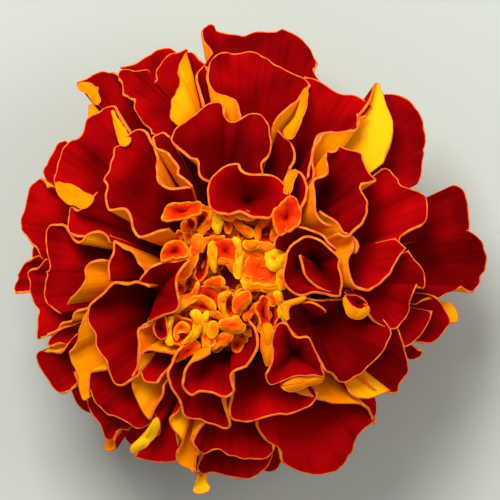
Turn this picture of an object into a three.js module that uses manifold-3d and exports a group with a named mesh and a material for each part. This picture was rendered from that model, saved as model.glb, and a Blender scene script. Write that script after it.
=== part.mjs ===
// The head of a double French marigold, as picked, lying face up on the tips of its lowest petals.
// Millimetres, +Z up. The flower's axis is the Z axis while it is built; at the end the head is moved
// so that the origin is the middle of the bottom of its box.

import * as THREE from "three";
import { mergeVertices } from "three/addons/utils/BufferGeometryUtils.js";
import Module from "manifold-3d";

const wasm = await Module();
wasm.setup();

// Driving dimensions, in millimetres

const TENTH = 0.1; // the tables below are in tenths of a millimetre
const SQUARE_AXIS = { x: 235, y: 278 }; // where the flower's axis stands on the tables' square, Y down

const DOME_TOP = 27; // height of the dome of petal rims at the axis
const DOME_EDGE = 13; // and at its edge
const DOME_RADIUS = 24.5;
const DOME_POWER = 2.2;

const BLADE = 0.6; // thickness of a petal
const CLAW_WIDTH = 1.6; // width of a petal at its root
const CLAW_INNER = 1.7; // distance of the innermost roots from the axis
const CLAW_SPREAD = 0.11; // how much farther out a petal is rooted, for each millimetre of its reach
const CLAW_HEIGHT = 17; // height of the innermost roots
const CLAW_DROP = 0.04; // how much lower a root is, for each millimetre of the petal's reach
const INNERMOST = 6; // a rib that ends this near the axis
const SAG_INNER = 1.2; // hangs this much in its middle,
const ARCH_OUTER = 2.4; // and one that ends at the dome's edge is arched this much
const SIDE_DROP = 0.5; // how much lower a petal's rim is at its two ends

const THROAT = 0.5; // radius of a cup-shaped petal's bottom
const FLARE = 0.5; // how far the ribs of a cup are arched
const STALK = 0.5; // half the width of a cup's stalk

const RIB_SPACING = 3.1; // distance between a petal's ribs along its rim
const FEWEST_RIBS = 3;
const FEWEST_ROUND = 6; // in a petal whose rim is closed
const MOST_RIBS = 9;
const RIB_STEPS = 1; // straight pieces in a rib
const RIB_START = 0.45; // a rib's nearer part is hidden in the bundle of claws, and left out up to here
const DROOPING_STEPS = 2;
const DROOPING_START = 0.12;

// Whorls of drooping petals under the ones that the tables hold: their number, the distance of their tips
// from the axis, the height of the tips and how much higher the others end, their width, the arch of their
// ribs, the turn of the first one, and which ones end lowest (every third one of the last whorl bears the head)
const DROOPING_WHORLS = [
  { petals: 11, reach: 20, height: 8.5, spread: 2, width: 10.5, arch: 3.2, turn: 0.2, lowestEvery: 2 },
  { petals: 12, reach: 16, height: 0, spread: 2.2, width: 8.5, arch: 4.2, turn: 0, lowestEvery: 3 },
];
const DROOPING_RIBS = 4;
const DROOPING_CLAW = { reach: 4.1, height: 16.4 };
const DROOPING_ROUNDING = 0.25; // how much shorter a petal is at its sides, as a share of its reach
const DROOPING_TROUGH = 2.2; // how much higher its sides are than its middle
const DROOPING_TURNS = [0, 0.4]; // where between its neighbours a petal is drawn to stand,
const DROOPING_SPREADS = [0.3, 1]; // which share of the spread it has
const DROOPING_TROUGHS = [0.8, 1.2]; // and of the trough

// The bundle of claws over the cup: radius, height
const BUNDLE_HEAD = [[6, 15.2], [11.5, 14.6], [13.6, 16], [13.2, 17.6], [10, 19.8], [6, 21.2], [0, 21.4]];

const CUP_BASE = 2.3; // height of the involucre's floor
const CUP_TIP = 14.6; // and of the tips of its bracts
const CUP_WAIST = 8; // the bundle of claws inside it has a ring of points at this height
const CUP_NOTCH = 1.4; // depth of the notches between the bracts
const CUP_WALL = 0.8;
const CUP_BRACTS = 8;
const CUP_RIDGE = 0.25; // how far the middle of each bract stands out
const CUP_HOLE = 1.8; // radius of the hole that the stem comes through
const CUP_SIDES = 48;
const CUP_PROFILE = [[3.6, 0], [4.5, 1.6], [5.0, 5], [5.1, 9], [5.4, 12.3]]; // radius, height over its floor

const STEM_END = 0.4; // height of the cut end, just over the surface
const STEM_RADIUS = 1.3;
const STEM_STRAIGHT = 0.3; // length of the stem's end before it swells
const STEM_NECK = 1.45; // radius where the stem passes the cup's floor
const STEM_SWELLING = 2.3; // radius of the swelling under the cup
const SWELLING_SIDE = 0.4; // height of its straight side
const RECEPTACLE_RADIUS = 2.4;
const RECEPTACLE_HEIGHT = 1.3;
const RECEPTACLE_BULGE = [0.4, 0.6]; // it is this much wider, this high over its floor

const CLEARANCE = 0.3; // between pieces that touch on the real flower
const LATHE_SIDES = 24;
const SMALLEST_EDGE = 0.12; // shorter edges are merged after a union
const GRID = 0.001; // coordinates are rounded to this
const SEED = 7;
const PARTING = 0.02; // how far vertices that touch are drawn back

// Petals. A row holds the petal's name, the height of its rim over the dome, and its rim from one root to
// the other, all in tenths of a millimetre: "x,y" or "x,y,lift". Where a rim runs back, the petal is folded
// over and shows its yellow underside. A petal marked "turned" is twisted, and shows it all over. One marked
// "cup x,y,lift" opens like a funnel from that place, and a rim that ends where it begins goes all round it.

const PETALS = [
  // north
  ["n back", -8, "203,108 198,90 197,74 206,61 211,50 202,37 202,29 209,21 217,28 242,32 255,28 275,30 "
    + "283,28 298,38 310,48 315,57 313,66 319,81"],
  ["n", 2, "242,118,8 236,101,10 227,96,8 215,91,2 209,77 207,67 212,59 222,53 237,50 250,50 "
    + "259,53 272,62 293,72 304,77 308,84 296,99,8 285,109,10 275,116,10 271,123,8"],
  ["n east fold", 4, "306,88 305,100 304,113 296,130 288,140 285,133 293,122 299,110 303,98 306,88",
    "turned cup 297,118,2"],
  ["n inner", 8, "211,178 202,174 199,159 190,158 179,152 172,145 171,138 175,130 185,123 200,111 "
    + "210,104 219,102 223,106 225,117 233,123 242,118 251,114 260,115 268,123 270,129 "
    + "269,151 262,163 263,174", "cup 224,186,-45"],
  ["n crest", 12, "229,215 219,214 212,207 210,191 211,180 217,173 227,165 240,163 246,171 257,175 "
    + "266,177 276,180 283,186 288,194 282,203 274,210 270,219 257,219 243,216 229,215", "cup 248,203,-55"],
  ["n strip", -2, "271,123 276,130 288,140 295,153 296,162 293,170"],
  ["n crest east", 6, "283,196 284,178 291,170 301,171 307,181 308,196 303,210"],
  ["n crest lining", 8, "284,194 285,180 290,173 296,172 293,181 291,193 284,194", "turned cup 289,184,1"],
  // north east
  ["ne", -4, "305,75 319,80 332,88 342,93 354,95 364,101 370,107"],
  ["ne peak", 4, "384,164 392,139 394,125 388,106 383,92 380,81 376,89 370,107 361,117 359,129 348,132 "
    + "325,134 319,143 315,154 310,178", "turned"],
  ["ne peak west", 5, "366,112 361,118 359,129 348,132 325,134 319,143 315,154 310,178", "turned"],
  ["ne cup", 10, "333,224 320,213 317,192 317,182 324,177 327,171 324,159 325,149 331,149 337,144 "
    + "345,147 362,154 365,164 370,173 376,181 364,186 362,191 369,201 369,210 366,223 "
    + "359,231 347,236 338,232"],
  ["ne fold", 6, "319,211 326,218 335,225 341,235 350,238 356,245 353,252", "turned"],
  ["ne back", -10, "386,92 394,91 402,94 411,102 420,117 425,131 426,144 424,159 422,176 417,185"],
  // east
  ["e upper", 0, "383,169 391,169 397,178 402,185 415,189 424,194 428,203 428,210 425,223 415,227 "
    + "402,234 398,242 394,246"],
  ["e middle", 5, "396,238 406,249 399,260 393,270 387,278 377,284 368,287 359,284 354,280 351,268 "
    + "350,259 353,250 351,242 345,237"],
  ["e back", -8, "457,183 466,189 471,200 472,214 473,227 469,229 479,237 485,245 492,262 486,275 "
    + "481,286 474,291 461,291 452,294 443,293 435,295 426,299 415,305"],
  ["e lower", 0, "409,250 421,266 425,276 423,289 413,289 410,300 411,311 404,321 398,327 389,329 "
    + "382,326 374,319 369,308 367,300 360,296 352,295 345,291", "cup 352,280,-35"],
  ["e under", -7, "347,282 353,293 360,302 350,303,-10 335,302,-16 322,301,-20"],
  ["e lens", 2, "343,297 348,303 355,308 363,308 367,303 370,309 366,315 360,318 353,318 346,313 "
    + "343,305 343,297", "turned cup 357,313,2"],
  ["e lens inner", 1, "344,295 352,295 359,296 365,299 368,304 364,309 356,309 349,304 344,295",
    "cup 358,303,-9"],
  ["e cup upper", 10, "273,248 277,238 289,229 298,228 311,230 322,236 327,243 335,252", "cup 315,262,-62"],
  ["e cup lower", 8, "288,250 285,260 284,276 290,288 301,294 314,291 325,295 338,298 342,293 342,282 "
    + "338,266 339,259 330,251 318,242 306,239 297,244 288,250", "cup 315,262,-60"],
  ["e cup inner", 2, "297,256 299,266 304,277 313,286 325,293 337,297", "cup 322,268,-50"],
  // south east
  ["se back", -8, "428,294 437,298 445,309 451,321 446,330 438,340 430,344 419,343"],
  ["se tip", -10, "447,305 454,307 459,312 459,321 451,324", "turned"],
  ["se back lower", -7, "432,312 429,321 421,335 412,344 403,347 398,345"],
  ["se small", -14, "410,344 420,348 424,352 420,358 408,358"],
  ["se", 2, "328,299,-8 347,298,-16 362,303,-16 376,312,-14 389,329 388,337 383,347 375,359 "
    + "364,371 354,378 344,382 334,375 321,369,-2 312,353,-5 304,341,-8 297,338,-6 291,330 "
    + "286,319 285,308 293,301 305,298 316,299,-4 328,299,-8", "cup 312,322,-40"],
  ["se crease", 4, "302,299 310,300 318,304 326,311", "cup 312,320,-38"],
  ["se lip", 6, "281,303 288,300 296,299 306,296 300,301 292,304 287,311 287,320 283,312 281,303",
    "turned cup 286,305,1"],
  ["se under", -4, "398,328 404,345 409,362 407,375 400,386 398,392 389,393 376,392 370,383 364,373"],
  ["se margin", -2, "389,393 376,397 360,400 350,396 344,384", "turned"],
  // south
  ["s east", 4, "324,376 312,376 295,376 282,381 271,384 265,375 268,368 272,356 272,340 278,325 "
    + "287,324 294,336 308,336 317,352 322,368 324,376", "cup 293,352,-35"],
  ["s east left", 4, "262,327 267,323 272,328 271,342 272,355 268,367 264,362 261,348 262,327",
    "turned cup 267,345,1"],
  ["s east under", 0, "317,390 318,396 312,403 298,410 284,415 266,418 252,420 240,420 234,416 233,407 "
    + "236,396"],
  ["s east fold", 2, "281,386 292,379 306,377 318,376 325,377 319,384 308,385 300,389 290,390 281,386",
    "turned cup 303,382,1"],
  ["s east margin", -4, "378,421 368,412 352,405 335,401 318,397 300,391 282,384", "turned"],
  ["s east back", -8, "375,421 367,426 360,432 357,441 349,457 339,470 329,474 315,476 303,473 288,467 "
    + "283,459 283,450 272,443 260,428 258,419"],
  ["s crest", 12, "209,350 191,362 183,376 183,387 191,396 201,392 214,393 226,397 236,390 234,374 "
    + "244,368 248,366 258,350 259,339 256,327 251,321"],
  ["s under", -5, "273,447 272,453 263,459 244,459 228,455 217,450 205,454 197,449 189,438 197,427 "
    + "205,421"],
  ["s back", -11, "273,455 268,466 255,477 245,479 225,475 210,474 201,474 196,465 198,453"],
  ["s tip", -10, "205,473 207,481,5 210,490,12 201,494,16 194,492,12 195,482,5 196,473",
    "turned cup 201,473,-13"],
  // south west
  ["sw crest", 3, "222,398 228,416 230,427 223,429 215,425 201,419 188,416 180,406 169,389 164,374 "
    + "169,360 183,344"],
  ["sw strip", 3, "205,421 189,438 198,452 197,458 196,474 188,469 178,462 175,450 179,440 172,426 "
    + "172,418 179,411", "turned"],
  ["sw small", 2, "165,375 159,385 147,384 139,374 143,360 151,352 175,349"],
  ["sw dark", 1, "156,320 160,316 166,316 167,326 167,336 161,339 156,333 154,326 156,320", "cup 161,328,-12"],
  ["sw margin", -2, "161,385 159,400 151,421 143,412 135,398 132,382 136,362 139,331,-5 155,322,-9", "turned"],
  ["sw", -5, "181,428 177,441 175,461 143,459 135,456 142,446 152,438 158,425 153,406"],
  ["sw edge", 3, "158,417 160,425 156,436,3 150,443,5 140,451,9 132,453,12 131,447,10 139,439,4 "
    + "147,430 152,421 158,417", "turned cup 147,438,2"],
  ["sw back", -8, "151,421 143,427 135,428 128,422 118,417 108,415 96,403 91,390 89,373"],
  ["sw low", -12, "129,430 118,430 112,440 105,438 99,424 89,411 86,398"],
  ["sw low tip", -12, "114,438 112,448 104,452 103,444", "turned"],
  // west
  ["w inner", 8, "150,324 156,321 167,313 176,309 179,302 180,283 183,274 191,261 187,258 176,260 "
    + "161,261 151,265 145,271 140,279", "cup 158,292,-45"],
  ["w big", 4, "157,321 145,326 138,331 137,360 137,373 128,381 121,385 114,381 110,370 106,360 "
    + "97,348 95,336 88,320 88,306 92,298 101,291 109,285 116,282 126,284 136,281 144,283 "
    + "151,286"],
  ["w fold", -2, "110,372 96,373 90,374 89,382 89,400 83,400 80,393 77,376 71,362 69,351 77,338 81,322 "
    + "87,310", "turned"],
  ["w upper", 2, "139,279 144,273 142,268 137,264 133,255 125,249 116,239 112,241 111,252 107,264 "
    + "107,280"],
  ["w outer", -3, "68,311 63,315 58,313 48,305 44,295 44,286 47,275 45,272 49,268 48,257 45,243 47,231 "
    + "51,225 57,224 64,226 69,233 76,238 83,240 92,238 102,237 110,240"],
  ["w outer fold", 0, "68,311,-10 67,306,-8 74,295,-4 80,288 85,280 86,270 92,264 106,260", "turned"],
  ["w back", -7, "87,309 75,313 71,322 62,326 55,335 41,341 37,325 37,312 30,297 29,284 27,272 39,266 "
    + "46,259"],
  ["w tip", -10, "27,289 14,290 11,288 16,280 16,274 24,263 38,256"],
  ["w low", -8, "74,372 76,382 71,393 61,394 52,390 47,382 41,372 37,362 37,351 47,350 58,350 68,344 "
    + "76,336"],
  ["w small", -9, "68,346 49,347 49,340 62,330 75,325"],
  ["w far", -7, "42,259 38,250 31,243 24,234 18,224 18,217 23,204 26,190 31,182 38,180 48,185 54,186"],
  // north west
  ["nw inner", 8, "170,229 157,232 146,236 140,237 134,230 130,220 126,212 119,211 108,213 105,205 "
    + "105,193 107,184 105,178 111,170 113,159 115,148 120,145 126,137 134,131 140,130 "
    + "147,135 150,146 155,160 156,170 162,181 175,187 193,186"],
  ["nw under", 1, "111,242 108,234 102,228 93,229 87,233 83,238 78,237 72,232 68,223 68,215 70,206 "
    + "80,208 90,200 98,191 104,196"],
  ["nw", -2, "92,200 75,200 60,192 54,184 55,170 61,151 66,144 72,139 81,137 84,130 88,120 96,113 "
    + "105,106 112,110 116,117 122,125"],
  ["nw fold", 3, "56,183 66,184 76,187 84,192 94,198 92,205 85,209 76,206 69,205 62,198 56,183",
    "turned cup 76,197,1"],
  ["nw margin", 3, "112,110 119,119 126,131 131,141 124,147 118,138 114,124 112,110", "turned cup 121,131,1"],
  ["nw back", -8, "51,184 45,179 44,170 49,159 57,145 64,140"],
  ["nw small", 6, "193,186,5 178,175,8 180,167,10 177,158,10 171,151,8 154,148,4 152,139 154,136 "
    + "163,132 171,135"],
  ["nnw", -1, "152,135 150,128 142,120 135,112 135,105 129,102 123,97 122,86 117,77 121,71 129,69 "
    + "136,71 147,70 152,72 157,82 156,70 161,62 169,56 181,52 188,49 184,54,4 178,66,8 "
    + "181,75,10 180,85,12 173,97,14 171,106,15 171,117,15 176,125,12", "cup 205,136,-30"],
  ["nnw back", -9, "121,66 129,65 138,64 147,57 158,49 168,45 172,48 177,51 185,50 190,56"],
  ["nnw strip", -8, "184,52 190,50 196,56 203,62 206,75"],
  ["nw outer", -6, "99,105 96,95 95,87 86,84 75,84 85,78 95,72 105,70 116,73 128,80"],
  ["nw lap", -3, "76,84 86,83 94,86 97,93 99,105 93,100 86,93 76,84", "turned cup 91,91,2"],
  ["nw curl", -6, "88,119 88,106 95,105 98,119", "turned"],
];

// Disc florets: rows as the petals' ones, of a floret's name, the height of its rim over the disc, its rim and
// the place of its throat

const DISC_FLORETS = [
  ["edge west", 30, "163,262 161,257 163,250 167,243 173,240 180,240 186,243 189,250 188,257 182,259 "
    + "172,259 163,262", "cup 175,252,-16"],
  ["edge north west", 30, "163,221 162,217 166,208 174,203 184,203 193,202 199,201 203,206 202,213 193,217 "
    + "180,221 170,222 163,221", "cup 183,212,-16"],
  ["edge north east", 28, "273,224 273,211 281,203 288,196 294,198 299,207 300,216 296,226 288,233 279,235 "
    + "273,224", "cup 286,218,-20"],
  ["yellow", 9, "214,216 219,213 223,217 222,228 218,235 214,230 214,216", "cup 218,224,3"],
  ["strip", 6, "209,217 213,209 216,213 211,223 204,234 199,238 198,234 203,226 209,217", "cup 207,224,3"],
  ["tab", 15, "235,215 240,212 249,213 257,217 249,220 240,219 235,215", "cup 246,216,3"],
  ["tab west", 12, "216,210 222,214 229,217 236,216 230,220 222,217 216,210", "cup 226,217,2"],
  ["loop", 2, "195,218 197,213 202,211 208,212 209,218 205,226 200,233 196,228 195,218", "cup 202,221,-25"],
  ["long strip", 6, "231,220 237,222 246,227 253,233 249,237 240,231 231,220", "cup 242,229,3"],
  ["small orange", 2, "223,218 230,217 232,226 229,234 225,229 223,218", "cup 227,224,-4"],
  ["north east", 6, "256,238 256,229 261,222 268,218 274,217 275,226 274,238 268,242 261,242 256,238",
    "cup 266,233,-15"],
  ["north east curl", 8, "256,240 255,230 261,222 270,217 274,217 268,223 261,229 260,238 256,240",
    "cup 260,227,2"],
  ["north east lip", 6, "270,238 273,230 281,227 292,228 290,233 282,238 275,243 270,238", "cup 280,233,-3"],
  ["hollow", 3, "199,247 205,240 214,237 222,237 216,243 211,252 209,264 206,276 199,282 194,276 "
    + "195,262 199,247", "cup 203,262,-25"],
  ["hollow edge", 5, "200,247 205,239 214,235 224,237 214,240 207,244 203,252 200,247", "cup 209,240,2"],
  ["west band", 7, "193,238 198,234 202,238 200,248 196,260 190,270 183,279 181,276 187,264 192,250 "
    + "193,238", "cup 194,256,2"],
  ["tulip", 6, "213,243 221,239 229,239 235,242 238,251 237,262 230,261 222,260 215,262 213,251 "
    + "213,243", "cup 226,252,-15"],
  ["tulip left", 9, "210,243 214,241 216,250 217,262 216,273 212,267 208,254 210,243", "cup 213,256,3"],
  ["tulip right", 9, "233,238 238,239 242,246 243,258 241,268 238,277 235,268 237,256 236,246 233,238",
    "cup 239,256,3"],
  ["tulip foot", 5, "218,263 223,260 229,261 236,268 240,277 233,271 227,265 218,263", "cup 228,263,2"],
  ["great", 5, "243,248 252,245 262,246 273,248 281,256 284,268 284,284 272,288 258,289 247,286 "
    + "240,278 238,272 241,260 243,248", "cup 257,266,-12"],
  ["great inner", 4, "244,263 250,255 258,258 264,254 268,264 276,270 272,280 262,279 254,284 249,276 "
    + "242,273 244,263", "cup 258,268,-5"],
  ["great lobe", 11, "266,252 272,249 280,251 285,256 283,265 277,271 270,268 266,262 266,252",
    "cup 275,259,2"],
  ["great top", 10, "243,242 252,240 262,243 273,246 271,251 258,248 246,247 243,242", "cup 258,245,2"],
  ["great bottom", 8, "240,279 246,283 258,284 270,285 284,281 284,287 270,290 256,290 246,288 240,279",
    "cup 262,287,2"],
  ["great east", 8, "278,268 284,266 285,276 285,286 280,290 277,280 278,268", "cup 281,279,2"],
  ["curl", 7, "204,284 208,280 215,276 222,277 224,283 218,287 212,284 204,284", "cup 215,281,3"],
  ["red", 1, "196,290 203,285 212,288 219,294 221,304 213,306 204,301 196,290", "cup 209,297,-10"],
  ["band", 6, "197,282 200,284 199,291 193,298 182,300 182,297 191,293 195,288 197,282", "cup 195,292,2"],
  ["arc", 10, "177,312 182,303 190,298 199,295 208,297 214,302 215,309 208,303 199,301 190,303 "
    + "184,308 177,312", "cup 199,298,2"],
  ["arc under", 5, "190,304 200,301 210,304 215,311 206,311 197,309 190,304", "cup 203,307,-6"],
  ["mitten", 8, "221,302 222,295 227,291 232,295 234,300 238,294 245,290 250,293 250,301 244,307 "
    + "239,314 233,319 226,315 221,302", "cup 230,306,-25"],
  ["mitten west", 9, "219,303 220,295 225,291 231,292 226,297 224,304 226,313 229,319 222,313 219,303",
    "cup 222,302,2"],
  ["mitten east", 10, "233,303 236,296 243,290 250,291 251,299 246,306 240,309 235,312 233,303",
    "cup 243,299,3"],
  ["mitten side", 4, "243,315 250,310 256,303 257,309 252,316 246,320 243,315", "cup 250,312,0"],
  ["standing", 8, "261,330 258,320 256,308 258,298 264,294 269,301 270,312 268,324 265,332 261,330",
    "cup 263,313,-20"],
  ["standing east", 3, "268,300 274,303 278,315 276,326 268,330 270,318 268,300", "cup 272,316,-15"],
  ["standing lip", 6, "267,293 271,291 277,293 277,302 272,306 269,300 267,293", "cup 273,298,2"],
  ["east band", 7, "272,291 280,290 284,300 288,312 287,322 281,318 278,306 272,291", "cup 281,305,2"],
  ["rosette", 8, "168,322 172,317 179,316 186,318 194,322 198,330 194,338 188,344 180,346 172,344 "
    + "168,336 168,322", "cup 183,331,-25"],
  ["rosette west", 9, "166,328 168,321 172,318 171,327 171,336 173,344 168,340 166,328", "cup 169,330,2"],
  ["rosette inner", 9, "174,334 176,326 183,321 190,326 189,334 184,332 179,333 177,340 174,334",
    "cup 181,328,-6"],
  ["rosette right", 11, "191,313 197,310 202,318 202,328 198,336 192,341 182,343 190,336 194,328 194,320 "
    + "191,313", "cup 198,325,3"],
  ["cluster west", 8, "204,333 203,322 204,314 209,311 208,320 207,330 204,333", "cup 206,322,3"],
  ["cluster", 5, "208,320 210,313 218,314 222,320 218,327 211,328 208,320", "cup 214,319,-10"],
  ["cluster top", 8, "208,313 214,310 222,313 228,318 221,319 214,316 208,313", "cup 218,315,2"],
  ["cluster lip", 9, "208,328 211,322 217,322 217,330 213,335 208,334 208,328", "cup 213,328,3"],
  ["lobes", 9, "219,325 222,319 230,318 238,317 245,321 246,329 240,333 231,333 224,330 219,325",
    "cup 233,325,3"],
  ["south", 5, "202,336 208,335 217,334 227,332 233,334 231,341 222,346 212,350 205,349 202,336",
    "cup 217,341,-4"],
  ["south fold", 6, "203,330 212,334 216,342 211,347 204,340 203,330", "cup 210,340,-4"],
  ["south west", 1, "172,360 178,350 186,344 196,340 201,345 196,353 188,357 178,361 172,360",
    "cup 188,350,-6"],
];
const DISC_HEIGHT = 25.2; // height of their rims at the axis
const DISC_FALL = 0.12; // how much lower a rim is, for each millimetre from the axis
const DISC_CLAW = { reach: 1, height: 17.6 };
const DISC_PLUG = [[0, 15.5], [1.2, 15.5], [2.0, 20], [0, 21]]; // the florets stand on a cone: radius, height
const DISC_PLUG_SIDES = 12;

// Colours

const PETAL_RED = new THREE.MeshStandardMaterial({ color: 0x9c0a10, roughness: 0.7, metalness: 0 });
const DISC_ORANGE = new THREE.MeshStandardMaterial({ color: 0xf08a10, roughness: 0.6, metalness: 0 });
const CUP_GREEN = new THREE.MeshStandardMaterial({ color: 0x5d8a3a, roughness: 0.6, metalness: 0 });
const STEM_GREEN = new THREE.MeshStandardMaterial({ color: 0x6f9648, roughness: 0.6, metalness: 0 });

// Helpers

function seededRandom(seed) {
  let state = seed;
  return () => {
    state = (state * 1664525 + 1013904223) % 4294967296;
    return state / 4294967296;
  };
}

function solidFromTriangles(points, triangles) {
  const geometry = new THREE.BufferGeometry();
  const places = points.flatMap(({ x, y, z }) => [x, y, z]);
  geometry.setAttribute("position", new THREE.Float32BufferAttribute(places, 3));
  geometry.setIndex(triangles.flat());
  return solidFromGeometry(geometry);
}

function solidFromGeometry(geometry) {
  geometry.deleteAttribute("normal");
  geometry.deleteAttribute("uv");
  const merged = mergeVertices(geometry, GRID);
  return new wasm.Manifold(new wasm.Mesh({
    numProp: 3,
    vertProperties: new Float32Array(merged.attributes.position.array),
    triVerts: new Uint32Array(merged.index.array),
  }));
}

function geometryFromSolid(solid) {
  const { vertProperties, triVerts } = solid.getMesh();
  const geometry = new THREE.BufferGeometry();
  const places = vertProperties.map((value) => Math.round(value / GRID) * GRID);
  geometry.setAttribute("position", new THREE.BufferAttribute(places, 3));
  geometry.setIndex(new THREE.BufferAttribute(triVerts, 1));
  return geometry;
}

// Where a body touches itself in a point or along an edge, the vertices there are drawn back into it

function partTouchingVertices(geometry) {
  geometry.computeVertexNormals();
  const { position, normal } = geometry.attributes;
  const seen = new Map();
  for (let i = 0; i < position.count; i += 1) {
    const place = new THREE.Vector3().fromBufferAttribute(position, i);
    const key = place.toArray().map((value) => Math.round(value / GRID)).join();
    seen.set(key, [...(seen.get(key) ?? []), i]);
  }
  for (const touching of seen.values()) {
    for (const i of touching.length > 1 ? touching : []) {
      const inward = new THREE.Vector3().fromBufferAttribute(normal, i).multiplyScalar(-PARTING);
      const place = new THREE.Vector3().fromBufferAttribute(position, i).add(inward);
      position.setXYZ(i, place.x, place.y, place.z);
    }
  }
}

function meshFromSolid(name, solid, material) {
  const mesh = new THREE.Mesh(geometryFromSolid(solid), material);
  partTouchingVertices(mesh.geometry);
  mesh.name = name;
  return mesh;
}

function turnedSolid(profile, sides = LATHE_SIDES) {
  const points = profile.map(([radius, height]) => new THREE.Vector2(radius, height));
  const geometry = new THREE.LatheGeometry(points, sides);
  geometry.rotateX(Math.PI / 2);
  return solidFromGeometry(geometry);
}

// Joins solids, and keeps the largest body of what comes out

function largestBody(solid) {
  const bodies = solid.decompose();
  bodies.sort((a, b) => b.volume() - a.volume());
  return bodies[0];
}

function joined(solids) {
  const body = largestBody(wasm.Manifold.union(solids).simplify(SMALLEST_EDGE));
  return largestBody(solidFromGeometry(geometryFromSolid(body)));
}

// The petals' rims lie on a dome, with each petal's own lift added

function domeHeight(reach) {
  return DOME_TOP - (DOME_TOP - DOME_EDGE) * (reach / DOME_RADIUS) ** DOME_POWER;
}

function pointOnTable(text) {
  const [x, y, lift = 0] = text.split(",").map(Number);
  return new THREE.Vector3((x - SQUARE_AXIS.x) * TENTH, (SQUARE_AXIS.y - y) * TENTH, lift * TENTH);
}

function readRow(lift, rimText, manner, heightAt) {
  const place = (text) => {
    const point = pointOnTable(text);
    point.z += heightAt(Math.hypot(point.x, point.y)) + lift * TENTH;
    return point;
  };
  const rim = rimText.split(" ").map(place);
  return {
    rim,
    closed: rim[0].equals(rim.at(-1)),
    turned: manner.includes("turned"),
    bottom: manner.includes("cup") ? place(manner.split(" ").at(-1)) : null,
  };
}

function readPetal([, lift, rimText, manner = ""]) {
  const petal = readRow(lift, rimText, manner, domeHeight);
  const reach = Math.max(...petal.rim.map((point) => Math.hypot(point.x, point.y)));
  return {
    ...petal,
    bow: petal.bottom ? FLARE : null,
    steps: RIB_STEPS,
    start: petal.bottom ? 0 : RIB_START,
    claw: { reach: CLAW_INNER + CLAW_SPREAD * reach, height: CLAW_HEIGHT - CLAW_DROP * reach },
  };
}

// The lowest petals droop round the cup

function droopingPetals({ petals, reach, height, spread, width, arch, turn, lowestEvery }, random) {
  const draw = ([low, high]) => THREE.MathUtils.lerp(low, high, random());
  return Array.from({ length: petals }, (_, k) => {
    const facing = turn + (2 * Math.PI * (k + draw(DROOPING_TURNS))) / petals;
    const tip = BLADE + height + (k % lowestEvery === 0 ? 0 : spread * draw(DROOPING_SPREADS));
    const rim = [];
    for (let i = 0; i <= DROOPING_RIBS; i += 1) {
      const across = (2 * i) / DROOPING_RIBS - 1;
      const out = reach * (1 - DROOPING_ROUNDING * across ** 4);
      const angle = facing + (0.5 * width * across) / reach;
      const up = tip + DROOPING_TROUGH * across ** 2 * draw(DROOPING_TROUGHS);
      rim.push(new THREE.Vector3(out * Math.cos(angle), out * Math.sin(angle), up));
    }
    return {
      rim,
      closed: false,
      turned: false,
      bottom: null,
      bow: arch,
      ribs: DROOPING_RIBS,
      steps: DROOPING_STEPS,
      start: DROOPING_START,
      claw: DROOPING_CLAW,
    };
  });
}

// A petal is a fan of ribs to its rim, from its root, the claw, or from the bottom of its cup

function rimInOrder({ rim, bottom, turned }) {
  const centre = bottom ?? new THREE.Vector3();
  const area = rim.slice(1).reduce((sum, point, i) => {
    const [a, b] = [rim[i].clone().sub(centre), point.clone().sub(centre)];
    return sum + a.x * b.y - a.y * b.x;
  }, 0);
  return (area > 0) === turned ? [...rim].reverse() : rim;
}

function placeAtClaw({ reach, height }, facing, across = 0) {
  const x = reach * Math.cos(facing) - across * Math.sin(facing);
  const y = reach * Math.sin(facing) + across * Math.cos(facing);
  return new THREE.Vector3(x, y, height);
}

function ribEnds(petal) {
  const rim = rimInOrder(petal);
  const curve = new THREE.CatmullRomCurve3(petal.closed ? rim.slice(1) : rim, petal.closed);
  const fewest = petal.closed ? FEWEST_ROUND : FEWEST_RIBS;
  const fitting = Math.round(curve.getLength() / RIB_SPACING);
  const count = petal.ribs ?? THREE.MathUtils.clamp(fitting, fewest, MOST_RIBS);
  const ends = curve.getSpacedPoints(count);
  if (!petal.closed) {
    ends[0].z -= SIDE_DROP;
    ends[count].z -= SIDE_DROP;
  }
  return ends;
}

function ribBow(end) {
  const reach = THREE.MathUtils.clamp(Math.hypot(end.x, end.y), INNERMOST, DOME_RADIUS);
  return THREE.MathUtils.mapLinear(reach, INNERMOST, DOME_RADIUS, -SAG_INNER, ARCH_OUTER);
}

function petalRibs(petal) {
  const ends = ribEnds(petal);
  const middle = ends.reduce((sum, end) => sum.add(end), new THREE.Vector3());
  const facing = Math.atan2(middle.y, middle.x);
  const side = petal.turned ? -1 : 1;
  return ends.map((end, i) => {
    const across = side * CLAW_WIDTH * (i / (ends.length - 1) - 0.5);
    const root = petal.bottom
      ? end.clone().sub(petal.bottom).setZ(0).setLength(THROAT).add(petal.bottom)
      : placeAtClaw(petal.claw, facing, across);
    const rib = [];
    for (let j = 0; j <= petal.steps; j += 1) {
      const along = THREE.MathUtils.lerp(petal.start, 1, j / petal.steps);
      const point = root.clone().lerp(end, along);
      point.z += (petal.bow ?? ribBow(end)) * 4 * along * (1 - along);
      rib.push(point);
    }
    return rib;
  });
}

// Each point of the upper face has a point one blade's thickness under it

function petalUnderside(ribs, closed) {
  const last = ribs.length - 1;
  const neighbour = (i) => (closed ? ribs[(i + last) % last] : ribs[THREE.MathUtils.clamp(i, 0, last)]);
  return ribs.map((rib, i) => rib.map((point, j) => {
    const along = rib[Math.min(j + 1, rib.length - 1)].clone().sub(rib[Math.max(j - 1, 0)]);
    const across = neighbour(i + 1)[j].clone().sub(neighbour(i - 1)[j]);
    const normal = along.cross(across).normalize();
    return point.clone().addScaledVector(normal, -BLADE);
  }));
}

// The strip between two neighbouring ribs, as a solid

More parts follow.
